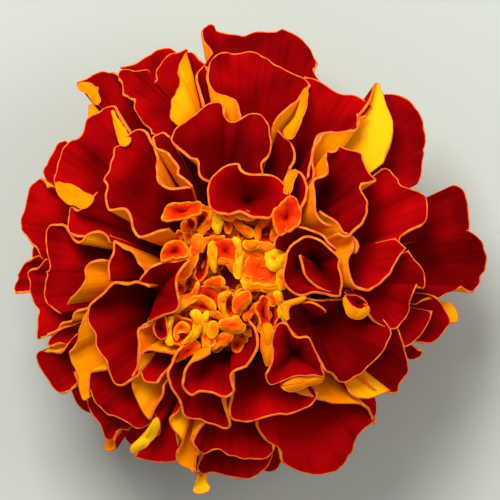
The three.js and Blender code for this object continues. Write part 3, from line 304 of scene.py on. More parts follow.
DISC_FLORETS = [
  ["edge west", 30, 3, "163,262 161,257 163,250 167,243 173,240 180,240 186,243 189,250 188,257 182,259 "
    "172,259 163,262", "cup 175,252,-16"],
  ["edge north west", 30, 3, "163,221 162,217 166,208 174,203 184,203 193,202 199,201 203,206 202,213 "
    "193,217 180,221 170,222 163,221", "cup 183,212,-16"],
  ["edge north east", 28, 2, "273,224 273,211 281,203 288,196 294,198 299,207 300,216 296,226 288,233 "
    "279,235 273,224", "cup 286,218,-20"],
  ["yellow", 9, 10, "214,216 219,213 223,217 222,228 218,235 214,230 214,216", "cup 218,224,3"],
  ["strip", 6, 7, "209,217 213,209 216,213 211,223 204,234 199,238 198,234 203,226 209,217", "cup 207,224,3"],
  ["tab", 15, 7, "235,215 240,212 249,213 257,217 249,220 240,219 235,215", "cup 246,216,3"],
  ["tab west", 12, 6, "216,210 222,214 229,217 236,216 230,220 222,217 216,210", "cup 226,217,2"],
  ["loop", 2, 1, "195,218 197,213 202,211 208,212 209,218 205,226 200,233 196,228 195,218",
    "cup 202,221,-25"],
  ["long strip", 6, 6, "231,220 237,222 246,227 253,233 249,237 240,231 231,220", "cup 242,229,3"],
  ["small orange", 2, 4, "223,218 230,217 232,226 229,234 225,229 223,218", "cup 227,224,-4"],
  ["north east", 6, 2, "256,238 256,229 261,222 268,218 274,217 275,226 274,238 268,242 261,242 256,238",
    "cup 266,233,-15"],
  ["north east curl", 8, 7, "256,240 255,230 261,222 270,217 274,217 268,223 261,229 260,238 256,240",
    "cup 260,227,2"],
  ["north east lip", 6, 6, "270,238 273,230 281,227 292,228 290,233 282,238 275,243 270,238",
    "cup 280,233,-3"],
  ["hollow", 3, 0, "199,247 205,240 214,237 222,237 216,243 211,252 209,264 206,276 199,282 194,276 195,262 "
    "199,247", "cup 203,262,-25"],
  ["hollow edge", 5, 6, "200,247 205,239 214,235 224,237 214,240 207,244 203,252 200,247", "cup 209,240,2"],
  ["west band", 7, 6, "193,238 198,234 202,238 200,248 196,260 190,270 183,279 181,276 187,264 192,250 "
    "193,238", "cup 194,256,2"],
  ["tulip", 6, 3, "213,243 221,239 229,239 235,242 238,251 237,262 230,261 222,260 215,262 213,251 213,243",
    "cup 226,252,-15"],
  ["tulip left", 9, 9, "210,243 214,241 216,250 217,262 216,273 212,267 208,254 210,243", "cup 213,256,3"],
  ["tulip right", 9, 9, "233,238 238,239 242,246 243,258 241,268 238,277 235,268 237,256 236,246 233,238",
    "cup 239,256,3"],
  ["tulip foot", 5, 6, "218,263 223,260 229,261 236,268 240,277 233,271 227,265 218,263", "cup 228,263,2"],
  ["great", 5, 6, "243,248 252,245 262,246 273,248 281,256 284,268 284,284 272,288 258,289 247,286 240,278 "
    "238,272 241,260 243,248", "cup 257,266,-12"],
  ["great inner", 4, 4, "244,263 250,255 258,258 264,254 268,264 276,270 272,280 262,279 254,284 249,276 "
    "242,273 244,263", "cup 258,268,-5"],
  ["great lobe", 11, 10, "266,252 272,249 280,251 285,256 283,265 277,271 270,268 266,262 266,252",
    "cup 275,259,2"],
  ["great top", 10, 7, "243,242 252,240 262,243 273,246 271,251 258,248 246,247 243,242", "cup 258,245,2"],
  ["great bottom", 8, 7, "240,279 246,283 258,284 270,285 284,281 284,287 270,290 256,290 246,288 240,279",
    "cup 262,287,2"],
  ["great east", 8, 8, "278,268 284,266 285,276 285,286 280,290 277,280 278,268", "cup 281,279,2"],
  ["curl", 7, 5, "204,284 208,280 215,276 222,277 224,283 218,287 212,284 204,284", "cup 215,281,3"],
  ["red", 1, 2, "196,290 203,285 212,288 219,294 221,304 213,306 204,301 196,290", "cup 209,297,-10"],
  ["band", 6, 6, "197,282 200,284 199,291 193,298 182,300 182,297 191,293 195,288 197,282", "cup 195,292,2"],
  ["arc", 10, 7, "177,312 182,303 190,298 199,295 208,297 214,302 215,309 208,303 199,301 190,303 184,308 "
    "177,312", "cup 199,298,2"],
  ["arc under", 5, 2, "190,304 200,301 210,304 215,311 206,311 197,309 190,304", "cup 203,307,-6"],
  ["mitten", 8, 3, "221,302 222,295 227,291 232,295 234,300 238,294 245,290 250,293 250,301 244,307 239,314 "
    "233,319 226,315 221,302", "cup 230,306,-25"],
  ["mitten west", 9, 7, "219,303 220,295 225,291 231,292 226,297 224,304 226,313 229,319 222,313 219,303",
    "cup 222,302,2"],
  ["mitten east", 10, 5, "233,303 236,296 243,290 250,291 251,299 246,306 240,309 235,312 233,303",
    "cup 243,299,3"],
  ["mitten side", 4, 5, "243,315 250,310 256,303 257,309 252,316 246,320 243,315", "cup 250,312,0"],
  ["standing", 8, 2, "261,330 258,320 256,308 258,298 264,294 269,301 270,312 268,324 265,332 261,330",
    "cup 263,313,-20"],
  ["standing east", 3, 1, "268,300 274,303 278,315 276,326 268,330 270,318 268,300", "cup 272,316,-15"],
  ["standing lip", 6, 5, "267,293 271,291 277,293 277,302 272,306 269,300 267,293", "cup 273,298,2"],
  ["east band", 7, 9, "272,291 280,290 284,300 288,312 287,322 281,318 278,306 272,291", "cup 281,305,2"],
  ["rosette", 8, 3, "168,322 172,317 179,316 186,318 194,322 198,330 194,338 188,344 180,346 172,344 "
    "168,336 168,322", "cup 183,331,-25"],
  ["rosette west", 9, 10, "166,328 168,321 172,318 171,327 171,336 173,344 168,340 166,328", "cup 169,330,2"],
  ["rosette inner", 9, 6, "174,334 176,326 183,321 190,326 189,334 184,332 179,333 177,340 174,334",
    "cup 181,328,-6"],
  ["rosette right", 11, 9, "191,313 197,310 202,318 202,328 198,336 192,341 182,343 190,336 194,328 194,320 "
    "191,313", "cup 198,325,3"],
  ["cluster west", 8, 9, "204,333 203,322 204,314 209,311 208,320 207,330 204,333", "cup 206,322,3"],
  ["cluster", 5, 2, "208,320 210,313 218,314 222,320 218,327 211,328 208,320", "cup 214,319,-10"],
  ["cluster top", 8, 6, "208,313 214,310 222,313 228,318 221,319 214,316 208,313", "cup 218,315,2"],
  ["cluster lip", 9, 7, "208,328 211,322 217,322 217,330 213,335 208,334 208,328", "cup 213,328,3"],
  ["lobes", 9, 6, "219,325 222,319 230,318 238,317 245,321 246,329 240,333 231,333 224,330 219,325",
    "cup 233,325,3"],
  ["south", 5, 6, "202,336 208,335 217,334 227,332 233,334 231,341 222,346 212,350 205,349 202,336",
    "cup 217,341,-4"],
  ["south fold", 6, 4, "203,330 212,334 216,342 211,347 204,340 203,330", "cup 210,340,-4"],
  ["south west", 1, 4, "172,360 178,350 186,344 196,340 201,345 196,353 188,357 178,361 172,360",
    "cup 188,350,-6"],
]
DISC_HEIGHT = 25.2 * MM  # height of their rims at the axis
DISC_FALL = 0.12  # how much lower a rim is, as a share of its distance from the axis
DISC_CLAW = (1 * MM, 17.6 * MM)  # distance from the axis, height
DISC_FLARE = 0.3 * MM
DISC_YELLOW = 10  # the highest colour of a row

# Small florets that fill the gaps: rows like the ones above, on a spiral over the oval of the disc
FILLER_PLACES = 130
FILLER_TURN = 2.4  # radians from one place to the next
FILLER_MIDDLE = np.array([226, 276])
FILLER_HALF_AXES = np.array([58, 72])
FILLER_LIFTS = (-16, -4)
FILLER_GLOWS = (2, 8)
FILLER_RADII = (6, 10)
FILLER_CORNERS = 9
FILLER_LOBES = (0.6, 1.1)  # shares of the radius that its corners are drawn between
FILLER_THROAT = -8
FILLER_SEED = 5
# Round places that they leave open, the well in the middle and the deepest of the other florets: x, y, radius
WELLS = [
    (231, 278, 15), (203, 250, 10), (199, 266, 10), (202, 221, 7), (226, 250, 9), (183, 331, 10),
    (263, 313, 8),
]

# Where the axis stands in the frame

stem_low, stem_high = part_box("peduncle")
AXIS = np.array([
    (stem_low[0] + stem_high[0]) / 2,
    (stem_low[1] + stem_high[1]) / 2,
    stem_low[2] - STEM_END * MM,
])


# Meshes

def add_object(name, data):
    thing = bpy.data.objects.new(name, data)
    bpy.context.scene.collection.objects.link(thing)
    return thing


def mesh_object(name, points, faces, attributes):
    mesh = bpy.data.meshes.new(name)
    mesh.from_pydata([tuple(p) for p in np.asarray(points) + AXIS], [], [tuple(f) for f in faces])
    for key, values in attributes.items():
        layer = mesh.attributes.new(key, "FLOAT", "POINT")
        layer.data.foreach_set("value", np.asarray(values, dtype=np.float32))
    mesh.shade_smooth()
    return add_object(name, mesh)


def declare(thing, node, material):
    thing.data.materials.append(material)
    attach(thing, "root")
    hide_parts(node)


def grid_faces(rows, columns, closed=False):
    """Quads of a grid of points whose columns run fastest. A closed one goes on from last to first."""
    row, column = np.meshgrid(np.arange(rows - 1), np.arange(columns - (not closed)), indexing="ij")
    a, b = row * columns + column, row * columns + (column + 1) % columns
    return np.stack([a, b, b + columns, a + columns], axis=-1).reshape(-1, 4)


def wave(places, length, rng):
    """Smooth seeded noise along a line, from -1 to 1."""
    knots = np.array([rng.uniform(-1, 1) for _ in range(int(places[-1] / length) + 4)])
    at = places / length + 1
    low = at.astype(int)
    share = at - low
    share = share * share * (3 - 2 * share)
    return knots[low] * (1 - share) + knots[low + 1] * share


# Rims and claws, as the part's solids have them

def dome_height(reach):
    return DOME_TOP - (DOME_TOP - DOME_EDGE) * (reach / DOME_RADIUS) ** DOME_POWER


def disc_height(reach):
    return DISC_HEIGHT - DISC_FALL * reach


def point_on_table(text, height, lift):
    x, y, *more = (float(value) for value in text.split(","))
    across, up = (x - SQUARE_AXIS[0]) * TENTH, (SQUARE_AXIS[1] - y) * TENTH
    return np.array([across, up, height(math.hypot(across, up)) + (lift + sum(more)) * TENTH])


def read_row(name, lift, rim_text, manner, height):
    petal = dict(name=name, turned="turned" in manner, bottom=None, least_painted_light=0)
    petal["rim"] = np.array([point_on_table(text, height, lift) for text in rim_text.split()])
    if "cup" in manner:
        petal["bottom"] = point_on_table(manner.split()[-1], height, lift)
        # A cup's bottom is painted in part shade, and a turned cup in none
        petal["least_painted_light"] = 1 if petal["turned"] else CUP_PAINTED_LIGHT
    return petal


def read_petal(name, lift, rim_text, manner=""):
    petal = read_row(name, lift, rim_text, manner, dome_height)
    reach = np.hypot(petal["rim"][:, 0], petal["rim"][:, 1]).max()
    bow = None if petal["bottom"] is None else FLARE
    claw = (CLAW_INNER + CLAW_SPREAD * reach, CLAW_HEIGHT - CLAW_DROP * reach)
    return dict(petal, bow=bow, claw=claw, glow="bright" in manner)


def read_floret(name, lift, glow, rim_text, manner):
    floret = read_row(name, lift, rim_text, manner, disc_height)
    return dict(floret, bow=DISC_FLARE, claw=DISC_CLAW, glow=glow / DISC_YELLOW)


def filler_florets():
    """Rows of small lobed florets on a spiral, in the manner of the table's rows."""
    rng = random.Random(FILLER_SEED)
    rows = []
    for k in range(FILLER_PLACES):
        turn, share = FILLER_TURN * k, math.sqrt((k + 0.5) / FILLER_PLACES)
        x, y = FILLER_MIDDLE + share * FILLER_HALF_AXES * (math.cos(turn), math.sin(turn))
        lift, glow, size = rng.uniform(*FILLER_LIFTS), rng.uniform(*FILLER_GLOWS), rng.uniform(*FILLER_RADII)
        corners = []
        for i in range(FILLER_CORNERS):
            radius = size * rng.uniform(*FILLER_LOBES)
            angle = 2 * math.pi * i / FILLER_CORNERS
            corners.append(f"{x + radius * math.cos(angle):.1f},{y + radius * math.sin(angle):.1f}")
        rim, throat = " ".join(corners + corners[:1]), f"cup {x:.1f},{y:.1f},{FILLER_THROAT}"
        if all(math.dist((x, y), well[:2]) > well[2] for well in WELLS):
            rows.append((f"filler {k}", lift, glow, rim, throat))
    return rows


def seeded_random(seed):
    """The same draws as in the part's solids, so that the drooping petals are the same ones."""
    while True:
        seed = (seed * 1664525 + 1013904223) % 2 ** 32
        yield seed / 2 ** 32


def drooping_petals(draws, petals, reach, height, spread, width, arch, turn, lowest_every):
    def draw(limits):
        low, high = limits
        return low + (high - low) * next(draws)

    whorl = []
    for k in range(petals):
        facing = turn + 2 * math.pi * (k + draw(DROOPING_TURNS)) / petals
        tip = DROOPING_RAISE + height + (spread * draw(DROOPING_SPREADS) if k % lowest_every else 0)
        rim = []
        for i in range(DROOPING_STRETCHES + 1):
            across = 2 * i / DROOPING_STRETCHES - 1
            out = reach * MM * (1 - DROOPING_ROUNDING * across ** 4)
            angle = facing + 0.5 * width * across / reach
            up = tip * MM + DROOPING_TROUGH * across ** 2 * draw(DROOPING_TROUGHS)
            rim.append((out * math.cos(angle), out * math.sin(angle), up))
        whorl.append(dict(
            name=f"drooping {reach} {k + 1}", rim=np.array(rim), turned=False, bottom=None, bow=arch * MM,
            claw=DROOPING_CLAW, glow=0, least_painted_light=0,
        ))
    return whorl


# Petals and florets as thin sheets between ribs

def smooth_curve(points, spacing, closed):
    """Evenly spaced points on a smooth curve through the given ones, and their distances along it."""
    before = points[-2] if closed else 2 * points[0] - points[1]
    after = points[1] if closed else 2 * points[-1] - points[-2]
    ends = np.vstack([before, points, after])
    t = np.linspace(0, 1, CURVE_STEPS, endpoint=False)[:, None]
    pieces = []
    for a, b, c, d in zip(ends[:-3], ends[1:-2], ends[2:-1], ends[3:]):
        pieces.append(b + 0.5 * t * (c - a + t * (2 * a - 5 * b + 4 * c - d + t * (3 * (b - c) + d - a))))
    dense = np.vstack([*pieces, points[-1:]])
    along = np.concatenate([[0], np.cumsum(np.linalg.norm(np.diff(dense, axis=0), axis=1))])
    places = np.linspace(0, along[-1], max(FEWEST_RIBS, round(along[-1] / spacing)))
    return np.stack([np.interp(places, along, dense[:, k]) for k in range(3)], axis=1), places


def claw_place(petal, facing):
    out, height = petal["claw"]
    return np.array([out * math.cos(facing), out * math.sin(facing), height])


def rib_roots(petal, ends, places):
    bottom = petal["bottom"]
    if bottom is not None:
        outward = ends[:, :2] - bottom[:2]
        outward = outward / np.linalg.norm(outward, axis=1, keepdims=True)
        return bottom + THROAT * np.column_stack([outward, np.zeros(len(ends))])
    facing = math.atan2(ends[:, 1].sum(), ends[:, 0].sum())
    across = (-1 if petal["turned"] else 1) * CLAW_WIDTH * (places / places[-1] - 0.5)
    side = np.array([-math.sin(facing), math.cos(facing), 0])
    return claw_place(petal, facing) + across[:, None] * side


def rib_bows(petal, ends):
    """How far each rib is arched: a petal's own measure, or else by how far out the rib ends."""
    if petal["bow"] is not None:
        return np.full(len(ends), petal["bow"])
    return np.interp(np.hypot(ends[:, 0], ends[:, 1]), BOW_REACHES, (-SAG_INNER, ARCH_OUTER))


def face_normals(surface):
    normals = np.cross(np.gradient(surface, axis=1), np.gradient(surface, axis=0))
    return normals / np.maximum(np.linalg.norm(normals, axis=2, keepdims=True), 1e-12)


def rim_in_order(petal):
    """The rim from the side that makes the sheet's face look up."""
    rim = petal["rim"]
    x, y = (rim[:, :2] - (0 if petal["bottom"] is None else petal["bottom"][:2])).T
    area = np.sum(x[:-1] * y[1:] - y[:-1] * x[1:])
    return rim[::-1] if (area > 0) == petal["turned"] else rim


def petal_surface(petal, make):
    """The middle of the sheet as a grid of points, ribs by steps, and each point's place on the petal."""
    rim = rim_in_order(petal)
    closed = bool(np.allclose(rim[0], rim[-1]))
    ends, places = smooth_curve(rim, make["rim_step"], closed)
    roots = rib_roots(petal, ends, places)
    from_side = np.minimum(places, places[-1] - places)
    fade = np.minimum(1, from_side / JOIN_LENGTH) if closed else 1
    if not closed:
        ends[:, 2] -= SIDE_DROP * np.maximum(0, 1 - from_side / SIDE_LENGTH) ** 2

    # Ribs from root to rim, with the rim going in and out
    rng = random.Random(petal["name"])
    u = 1 - (1 - np.linspace(0, 1, make["rib_steps"] + 1)) ** RIB_CROWDING
    hump = 4 * u * (1 - u)  # 1 in the middle of a rib, and 0 at its ends
    outward = ends - roots
    ribs_length = np.linalg.norm(outward, axis=1)
    stretch = 1 + fade * make["toothing"] * wave(places, make["toothing_length"], rng) / ribs_length
    surface = roots[:, None] + outward[:, None] * (u[None, :, None] * stretch[:, None, None])
    fullness = np.minimum(1, ribs_length / make["full_rib"])[:, None]
    surface[:, :, 2] += fullness * rib_bows(petal, ends)[:, None] * hump

    # Waves along the rim, small creases beside it, and waves in the middle
    swell = 0
    for height, length, fall in (
        (make["ruffle"], make["ruffle_length"], u ** 2),
        (make["crinkle"], make["crinkle_length"], u ** 4),
        (BELLY * make["ruffle"], 2 * make["ruffle_length"], hump),
    ):
        swell = swell + height * (fade * wave(places, length, rng))[:, None] * fall
    surface += face_normals(surface) * (fullness * swell)[:, :, None]

    to_rim = ribs_length[:, None] * (1 - u)
    open_side = (u > MARGIN_START) & (not closed)
    to_side = np.where(open_side[None, :], from_side[:, None] + MARGIN_INSET, to_rim)
    least = petal["least_painted_light"]
    # light is painted light: it falls toward the root and paints the shade under the other petals; depth, the
    # height under the rim, paints shade on the florets
    place = dict(
        light=least + (1 - least) * u + 0 * to_rim,
        to_rim=np.minimum(to_rim, to_side) / MM,
        along=places[:, None] / MM + 0 * to_rim,
        outward=u + 0 * to_rim,
        depth=(ends[:, None, 2] - surface[:, :, 2]) / MM,
    )
    return surface, to_rim, place


def half_thickness(to_rim, bead):
    swelling = np.sqrt(np.maximum(0, 1 - (to_rim / bead - 1) ** 2))
    return BLADE / 2 + bead * swelling


def petal_mesh(petal, make):
    surface, to_rim, place = petal_surface(petal, make)
    ribs, steps, _ = surface.shape
    count = ribs * steps
    off = face_normals(surface) * half_thickness(to_rim, make["bead"])[:, :, None]
    points = np.vstack([(surface + off).reshape(-1, 3), (surface - off).reshape(-1, 3)])

    upper = grid_faces(ribs, steps)[:, ::-1]
    under = grid_faces(ribs, steps) + count
    index = np.arange(count).reshape(ribs, steps)
    border = np.concatenate([index[:, 0], index[-1, 1:], index[::-1, -1][1:], index[0, ::-1][1:]])
    edge = np.stack([border[:-1], border[:-1] + count, border[1:] + count, border[1:]], axis=1)

    tone = TONES_AND_PAINTED_SHADE.get(petal["name"], random.Random(petal["name"] + " tone").uniform(*USUAL_TONES))
    attributes = {key: np.tile(values.ravel(), 2) for key, values in place.items()}
    attributes["along"] += TONE_SHIFT * tone
    attributes["upper"] = np.repeat([1.0, 0.0], count)
    attributes["tone"] = np.full(2 * count, tone)
    attributes["glow"] = np.full(2 * count, petal["glow"])
    return points, np.vstack([upper, under, edge]), attributes


def stalk_mesh(petal):
    """The narrow part of a cup-shaped petal, from its claw to its bottom."""
    bottom = petal["bottom"]
    claw = claw_place(petal, math.atan2(bottom[1], bottom[0]))
    rise = bottom - (0, 0, BLADE) - claw
    side = np.cross(rise, (0, 0, 1.0))
    side = side / np.linalg.norm(side)
    front = np.cross(side, rise / np.linalg.norm(rise))
    around = np.linspace(0, 2 * math.pi, STALK_SIDES + 1)
    ring = np.outer(np.cos(around), side) + np.outer(np.sin(around), front)
    sections = ((0, STALK), (0.5, STALK), (1, THROAT + BLADE / 2))
    points = [claw + share * rise + radius * ring for share, radius in sections]
    look = dict(STALK_LOOK, glow=petal["glow"])
    attributes = {key: np.full(len(sections) * len(around), value) for key, value in look.items()}
    return np.vstack(points), grid_faces(len(sections), len(around)), attributes


def petals_object(name, petals, make, node, material):
    pieces = [petal_mesh(petal, make) for petal in petals]
    pieces += [stalk_mesh(petal) for petal in petals if petal["bottom"] is not None]
    points, faces, attributes = zip(*pieces)
    starts = np.cumsum([0] + [len(some) for some in points])
    faces = np.vstack([some + start for some, start in zip(faces, starts)])
    joined = {key: np.concatenate([some[key] for some in attributes]) for key in attributes[0]}
    thing = mesh_object(name, np.vstack(points), faces, joined)
    declare(thing, node, material)


# Materials. Colours are sRGB bytes, and a ramp has places from 0 to 1 with their colours. Scales of noise
# are for a metre, but those of veins and of a rim's unevenness are for a millimetre.

BLACK = (0, 0, 0)
WHITE = (255, 255, 255)

PETAL_REDS = ((0.32, (110, 2, 4)), (0.5, (148, 3, 6)), (0.68, (182, 5, 8)))
PETAL_GOLDS = ((0.3, (246, 122, 0)), (0.5, (253, 148, 2)), (0.7, (255, 178, 10)))
RIM_GOLDS = ((0.35, (250, 92, 36)), (0.65, (255, 144, 52)))
PAINTED_SHADE_RED, PAINTED_SHADE_GOLD = (46, 0, 0), (170, 60, 0)  # painted shade: what a petal's two faces turn into toward the root, where the petals above shade them
# How the painted shade gives way to a face's colour as a point's painted light rises
RED_PAINTED_SHADE_RAMP = ((0.25, BLACK), (0.9, WHITE))
GOLD_PAINTED_SHADE_RAMP = ((0.2, BLACK), (0.85, WHITE))
BESIDE_RIM = (190, 34, 8)
# What a "bright" underside turns toward, and how far: partly its own lighter yellow, partly painted light
BRIGHT_GOLD_AND_PAINTED_LIGHT = (255, 192, 20)
BRIGHTENING = 0.85
PETAL_SHEEN = (255, 60, 60)
VEINS_ALONG, VEINS_OUTWARD = 1.6, 1.4
VEINS_POWER = 1.5  # over 1, they fade toward the claw
CLOUDS = 240.0
VEINS_SHARE, CLOUDS_SHARE, TONE_SHARE = 0.3, 0.7, 0.3
UNEVENNESS = 0.9
RIM_WIDTH = (0.03, 0.13)  # the least width of the gold edge, and what unevenness adds, in millimetres
BESIDE_WIDTH = 0.05
PETAL_RELIEF = (0.25, 0.4 * MM)  # strength and height of the bumps
CLOUDS_RELIEF = 0.3

DISC_INSIDES = (
    (0.0, (158, 10, 2)), (0.2, (226, 44, 4)), (0.5, (252, 88, 0)), (0.8, (255, 142, 4)),
    (1.0, (255, 196, 14)),
)
DISC_OUTSIDES = ((0.0, (240, 90, 0)), (1.0, (255, 170, 8)))
# The lips along the florets' rims: partly their own yellow margins, partly a painted highlight on their lit
# edges
DISC_LIPS_AND_PAINTED_HIGHLIGHT = ((0.0, (255, 105, 16)), (0.5, (255, 138, 14)), (1.0, (255, 190, 20)))
# Painted shade on the florets, darker the deeper a point lies under its rim
DISC_PAINTED_SHADE = ((0.08, WHITE), (0.6, (205, 70, 30)))
DISC_SHADE_DEPTH = 5  # millimetres under the rim that the painted shade's ramp is measured by
DISC_SHEEN = (255, 170, 60)
STREAKS = 700.0
STREAKS_WARMTH, OUTWARD_WARMTH = 0.8, 0.3
OUTWARD_MIDDLE = 0.6  # how far out on a rib the second one adds nothing
LIP_UNEVENNESS = 1600.0
LIP_WIDTH = (0.08, 0.17, 0.8)  # the least and the middle width of a lip, and what unevenness adds
DISC_RELIEF = (0.25, 0.2 * MM)
CLAW_REDS = ((0.3, (165, 16, 4)), (0.7, (222, 62, 8)))

CUP_GREENS = ((0.3, (70, 100, 40)), (0.7, (120, 150, 70)))
STEM_GREENS = ((0.3, (90, 120, 60)), (0.7, (140, 165, 90)))
GREEN_STREAKS = (14, 0.35)  # streaks for each radian, and for each millimetre of height
GLANDS = 1500.0
GLANDS_ABOVE = 0.71  # noise over this is a gland
GLAND_BROWN = (120, 70, 30)
GREEN_RELIEF = (0.4, 0.3 * MM)


def linear(red, green, blue):
    """A colour given as sRGB bytes, as Blender's sockets want it."""
    shares = [c / 255 for c in (red, green, blue)]
    return tuple(((c + 0.055) / 1.055) ** 2.4 if c > 0.04 else c / 12.92 for c in shares) + (1,)


class Nodes:
    """A material's node tree, with short calls for the kinds of node used here."""

    def __init__(self, name):
        self.material = bpy.data.materials.new(name)
        self.material.use_nodes = True
        self.tree = self.material.node_tree
        self.shader = self.tree.nodes["Principled BSDF"]

    def set(self, socket, value):
        """A value is another node's socket, a number, or a colour in bytes."""
        if isinstance(value, bpy.types.NodeSocket):
            self.tree.links.new(value, socket)
        else:
            socket.default_value = linear(*value) if isinstance(value, tuple) else value

    def node(self, kind, inputs, **settings):
        """A new node. Its inputs are given by name or by number."""
        node = self.tree.nodes.new(f"ShaderNode{kind}")
        for key, value in settings.items():
            setattr(node, key, value)
        for key, value in inputs.items():
            self.set(node.inputs[key], value)
        return node

    def attribute(self, name):
        return self.node("Attribute", {}, attribute_name=name).outputs["Fac"]

    def calculate(self, operation, *values):
        return self.node("Math", dict(enumerate(values)), operation=operation).outputs[0]

    plus = partialmethod(calculate, "ADD")
    minus = partialmethod(calculate, "SUBTRACT")
    times = partialmethod(calculate, "MULTIPLY")
    below = partialmethod(calculate, "LESS_THAN")
    above = partialmethod(calculate, "GREATER_THAN")

    def noise(self, scale, detail, vector=None):
        """Noise at the place in the frame, or at another vector."""
        if vector is None:
            vector = self.node("NewGeometry", {}).outputs["Position"]
        return self.node("TexNoise", {"Vector": vector, "Scale": scale, "Detail": detail}).outputs[0]

    def noise_along(self, x, y, detail):
        return self.noise(1.0, detail, self.node("CombineXYZ", {"X": x, "Y": y}).outputs[0])

    def ramp(self, value, stops):
        node = self.node("ValToRGB", {0: value})
        elements = node.color_ramp.elements
        while len(elements) < len(stops):
            elements.new(0.5)
        for element, (at, colour) in zip(elements, stops):
            element.position = at
            element.color = linear(*colour)
        return node.outputs[0]

    def mix(self, share, a, b, blend="MIX"):
        inputs = {"Factor": share, "A": a, "B": b}
        return self.node("Mix", inputs, data_type="RGBA", blend_type=blend).outputs["Result"]

    def bump(self, height, relief):
        strength, distance = relief
        node = self.node("Bump", {"Height": height, "Strength": strength, "Distance": distance})
        self.set(self.shader.inputs["Normal"], node.outputs[0])

    def finish(self, colour, roughness, specular=0.35, sheen=0.0, sheen_tint=WHITE):
        values = {
            "Base Color": colour, "Roughness": roughness, "Specular IOR Level": specular,
            "Sheen Weight": sheen, "Sheen Tint": sheen_tint,
        }
        for name, value in values.items():
            self.set(self.shader.inputs[name], value)
        return self.material


def petal_material():
    n = Nodes("petal")
    along, outward, light = n.attribute("along"), n.attribute("outward"), n.attribute("light")
    veins = n.noise_along(n.times(along, VEINS_ALONG), n.times(outward, VEINS_OUTWARD), detail=2.0)
    fading = n.calculate("POWER", outward, VEINS_POWER)
    veins = n.calculate("MULTIPLY_ADD", n.minus(veins, 0.5), fading, 0.5)
    clouds = n.noise(CLOUDS, detail=1.0)
    shade = n.plus(n.times(veins, VEINS_SHARE), n.times(clouds, CLOUDS_SHARE))
    shade = n.plus(shade, n.times(n.minus(n.attribute("tone"), 0.5), TONE_SHARE))
    # Painted shade: both faces darken toward the root as the painted light falls
    red = n.mix(n.ramp(light, RED_PAINTED_SHADE_RAMP), PAINTED_SHADE_RED, n.ramp(shade, PETAL_REDS))
    # A "bright" underside is a lighter yellow: partly its own colour, partly painted light
    gold = n.mix(n.times(n.attribute("glow"), BRIGHTENING), n.ramp(shade, PETAL_GOLDS), BRIGHT_GOLD_AND_PAINTED_LIGHT)
    gold = n.mix(n.ramp(light, GOLD_PAINTED_SHADE_RAMP), PAINTED_SHADE_GOLD, gold)

    uneven = n.noise_along(n.times(along, UNEVENNESS), 0.0, detail=3.0)
    least, more = RIM_WIDTH
    width = n.plus(n.times(uneven, more), least)
    on_rim = n.below(n.attribute("to_rim"), width)
    near_rim = n.below(n.attribute("to_rim"), n.plus(width, BESIDE_WIDTH))
    rim_gold = n.ramp(uneven, RIM_GOLDS)
    face = n.mix(on_rim, n.mix(near_rim, red, BESIDE_RIM), rim_gold)
    back = n.mix(on_rim, gold, rim_gold)
    n.bump(n.plus(veins, n.times(clouds, CLOUDS_RELIEF)), PETAL_RELIEF)
    colour = n.mix(n.above(n.attribute("upper"), 0.5), back, face)
    return n.finish(colour, roughness=0.7, specular=0.0, sheen=0.01, sheen_tint=PETAL_SHEEN)


def disc_material():
    n = Nodes("disc")
    streaks = n.noise(STREAKS, detail=2.0)
    warmth = n.plus(n.attribute("glow"), n.times(n.minus(streaks, 0.5), STREAKS_WARMTH))
    warmth = n.plus(warmth, n.times(n.minus(n.attribute("outward"), OUTWARD_MIDDLE), OUTWARD_WARMTH))
    inside, outside, lip = (n.ramp(warmth, stops) for stops in (DISC_INSIDES, DISC_OUTSIDES, DISC_LIPS_AND_PAINTED_HIGHLIGHT))
    colour = n.mix(n.above(n.attribute("upper"), 0.5), outside, inside)

    # A lip along each rim, partly the floret's own yellow margin and partly a painted highlight
    least, middle, more = LIP_WIDTH
    uneven = n.minus(n.noise(LIP_UNEVENNESS, detail=1.0), 0.5)
    width = n.calculate("MAXIMUM", n.plus(n.times(uneven, more), middle), least)
    colour = n.mix(n.below(n.attribute("to_rim"), width), colour, lip)
    # Painted shade: a floret is darker the deeper a point lies under its rim
    depth = n.ramp(n.times(n.attribute("depth"), 1 / DISC_SHADE_DEPTH), DISC_PAINTED_SHADE)
    n.bump(streaks, DISC_RELIEF)
    colour = n.mix(1.0, colour, depth, "MULTIPLY")
    return n.finish(colour, roughness=0.6, specular=0.05, sheen=0.02, sheen_tint=DISC_SHEEN)


def claw_material():
    n = Nodes("claws")
    colour = n.ramp(n.noise(STREAKS, detail=2.0), CLAW_REDS)
    return n.finish(colour, roughness=0.7, specular=0.05)


def green_material(name, greens):
    n = Nodes(name)
    streaks = n.noise_along(n.attribute("round"), n.attribute("height"), detail=4.0)
    glands = n.above(n.noise(GLANDS, detail=0.0), GLANDS_ABOVE)
    n.bump(streaks, GREEN_RELIEF)
    colour = n.mix(glands, n.ramp(streaks, greens), GLAND_BROWN)
    return n.finish(colour, roughness=0.45, specular=0.4)


# The bundle of claws, the cup and the stem

def turned_object(name, profile, sides, shape):
    """A lathed surface. shape gives a share of radius and a rise for each angle, radius and height."""
    around = np.linspace(0, 2 * math.pi, sides, endpoint=False)
    points = []
    for radius, height in profile:
        share, rise = shape(around, radius, height)
        radii = radius * MM * share
        heights = (height + rise) * MM + 0 * around
        points.append(np.stack([radii * np.cos(around), radii * np.sin(around), heights], axis=1))
    every = np.vstack(points)
    streaks_round, streaks_up = GREEN_STREAKS
    attributes = dict(
        round=np.tile(around * streaks_round, len(profile)), height=every[:, 2] / MM * streaks_up,
    )
    return mesh_object(name, every, grid_faces(len(profile), sides, closed=True), attributes)


def fluted(number, depth, curve):
    return lambda around, radius, height: (1 + depth * curve(number * around), 0.0)


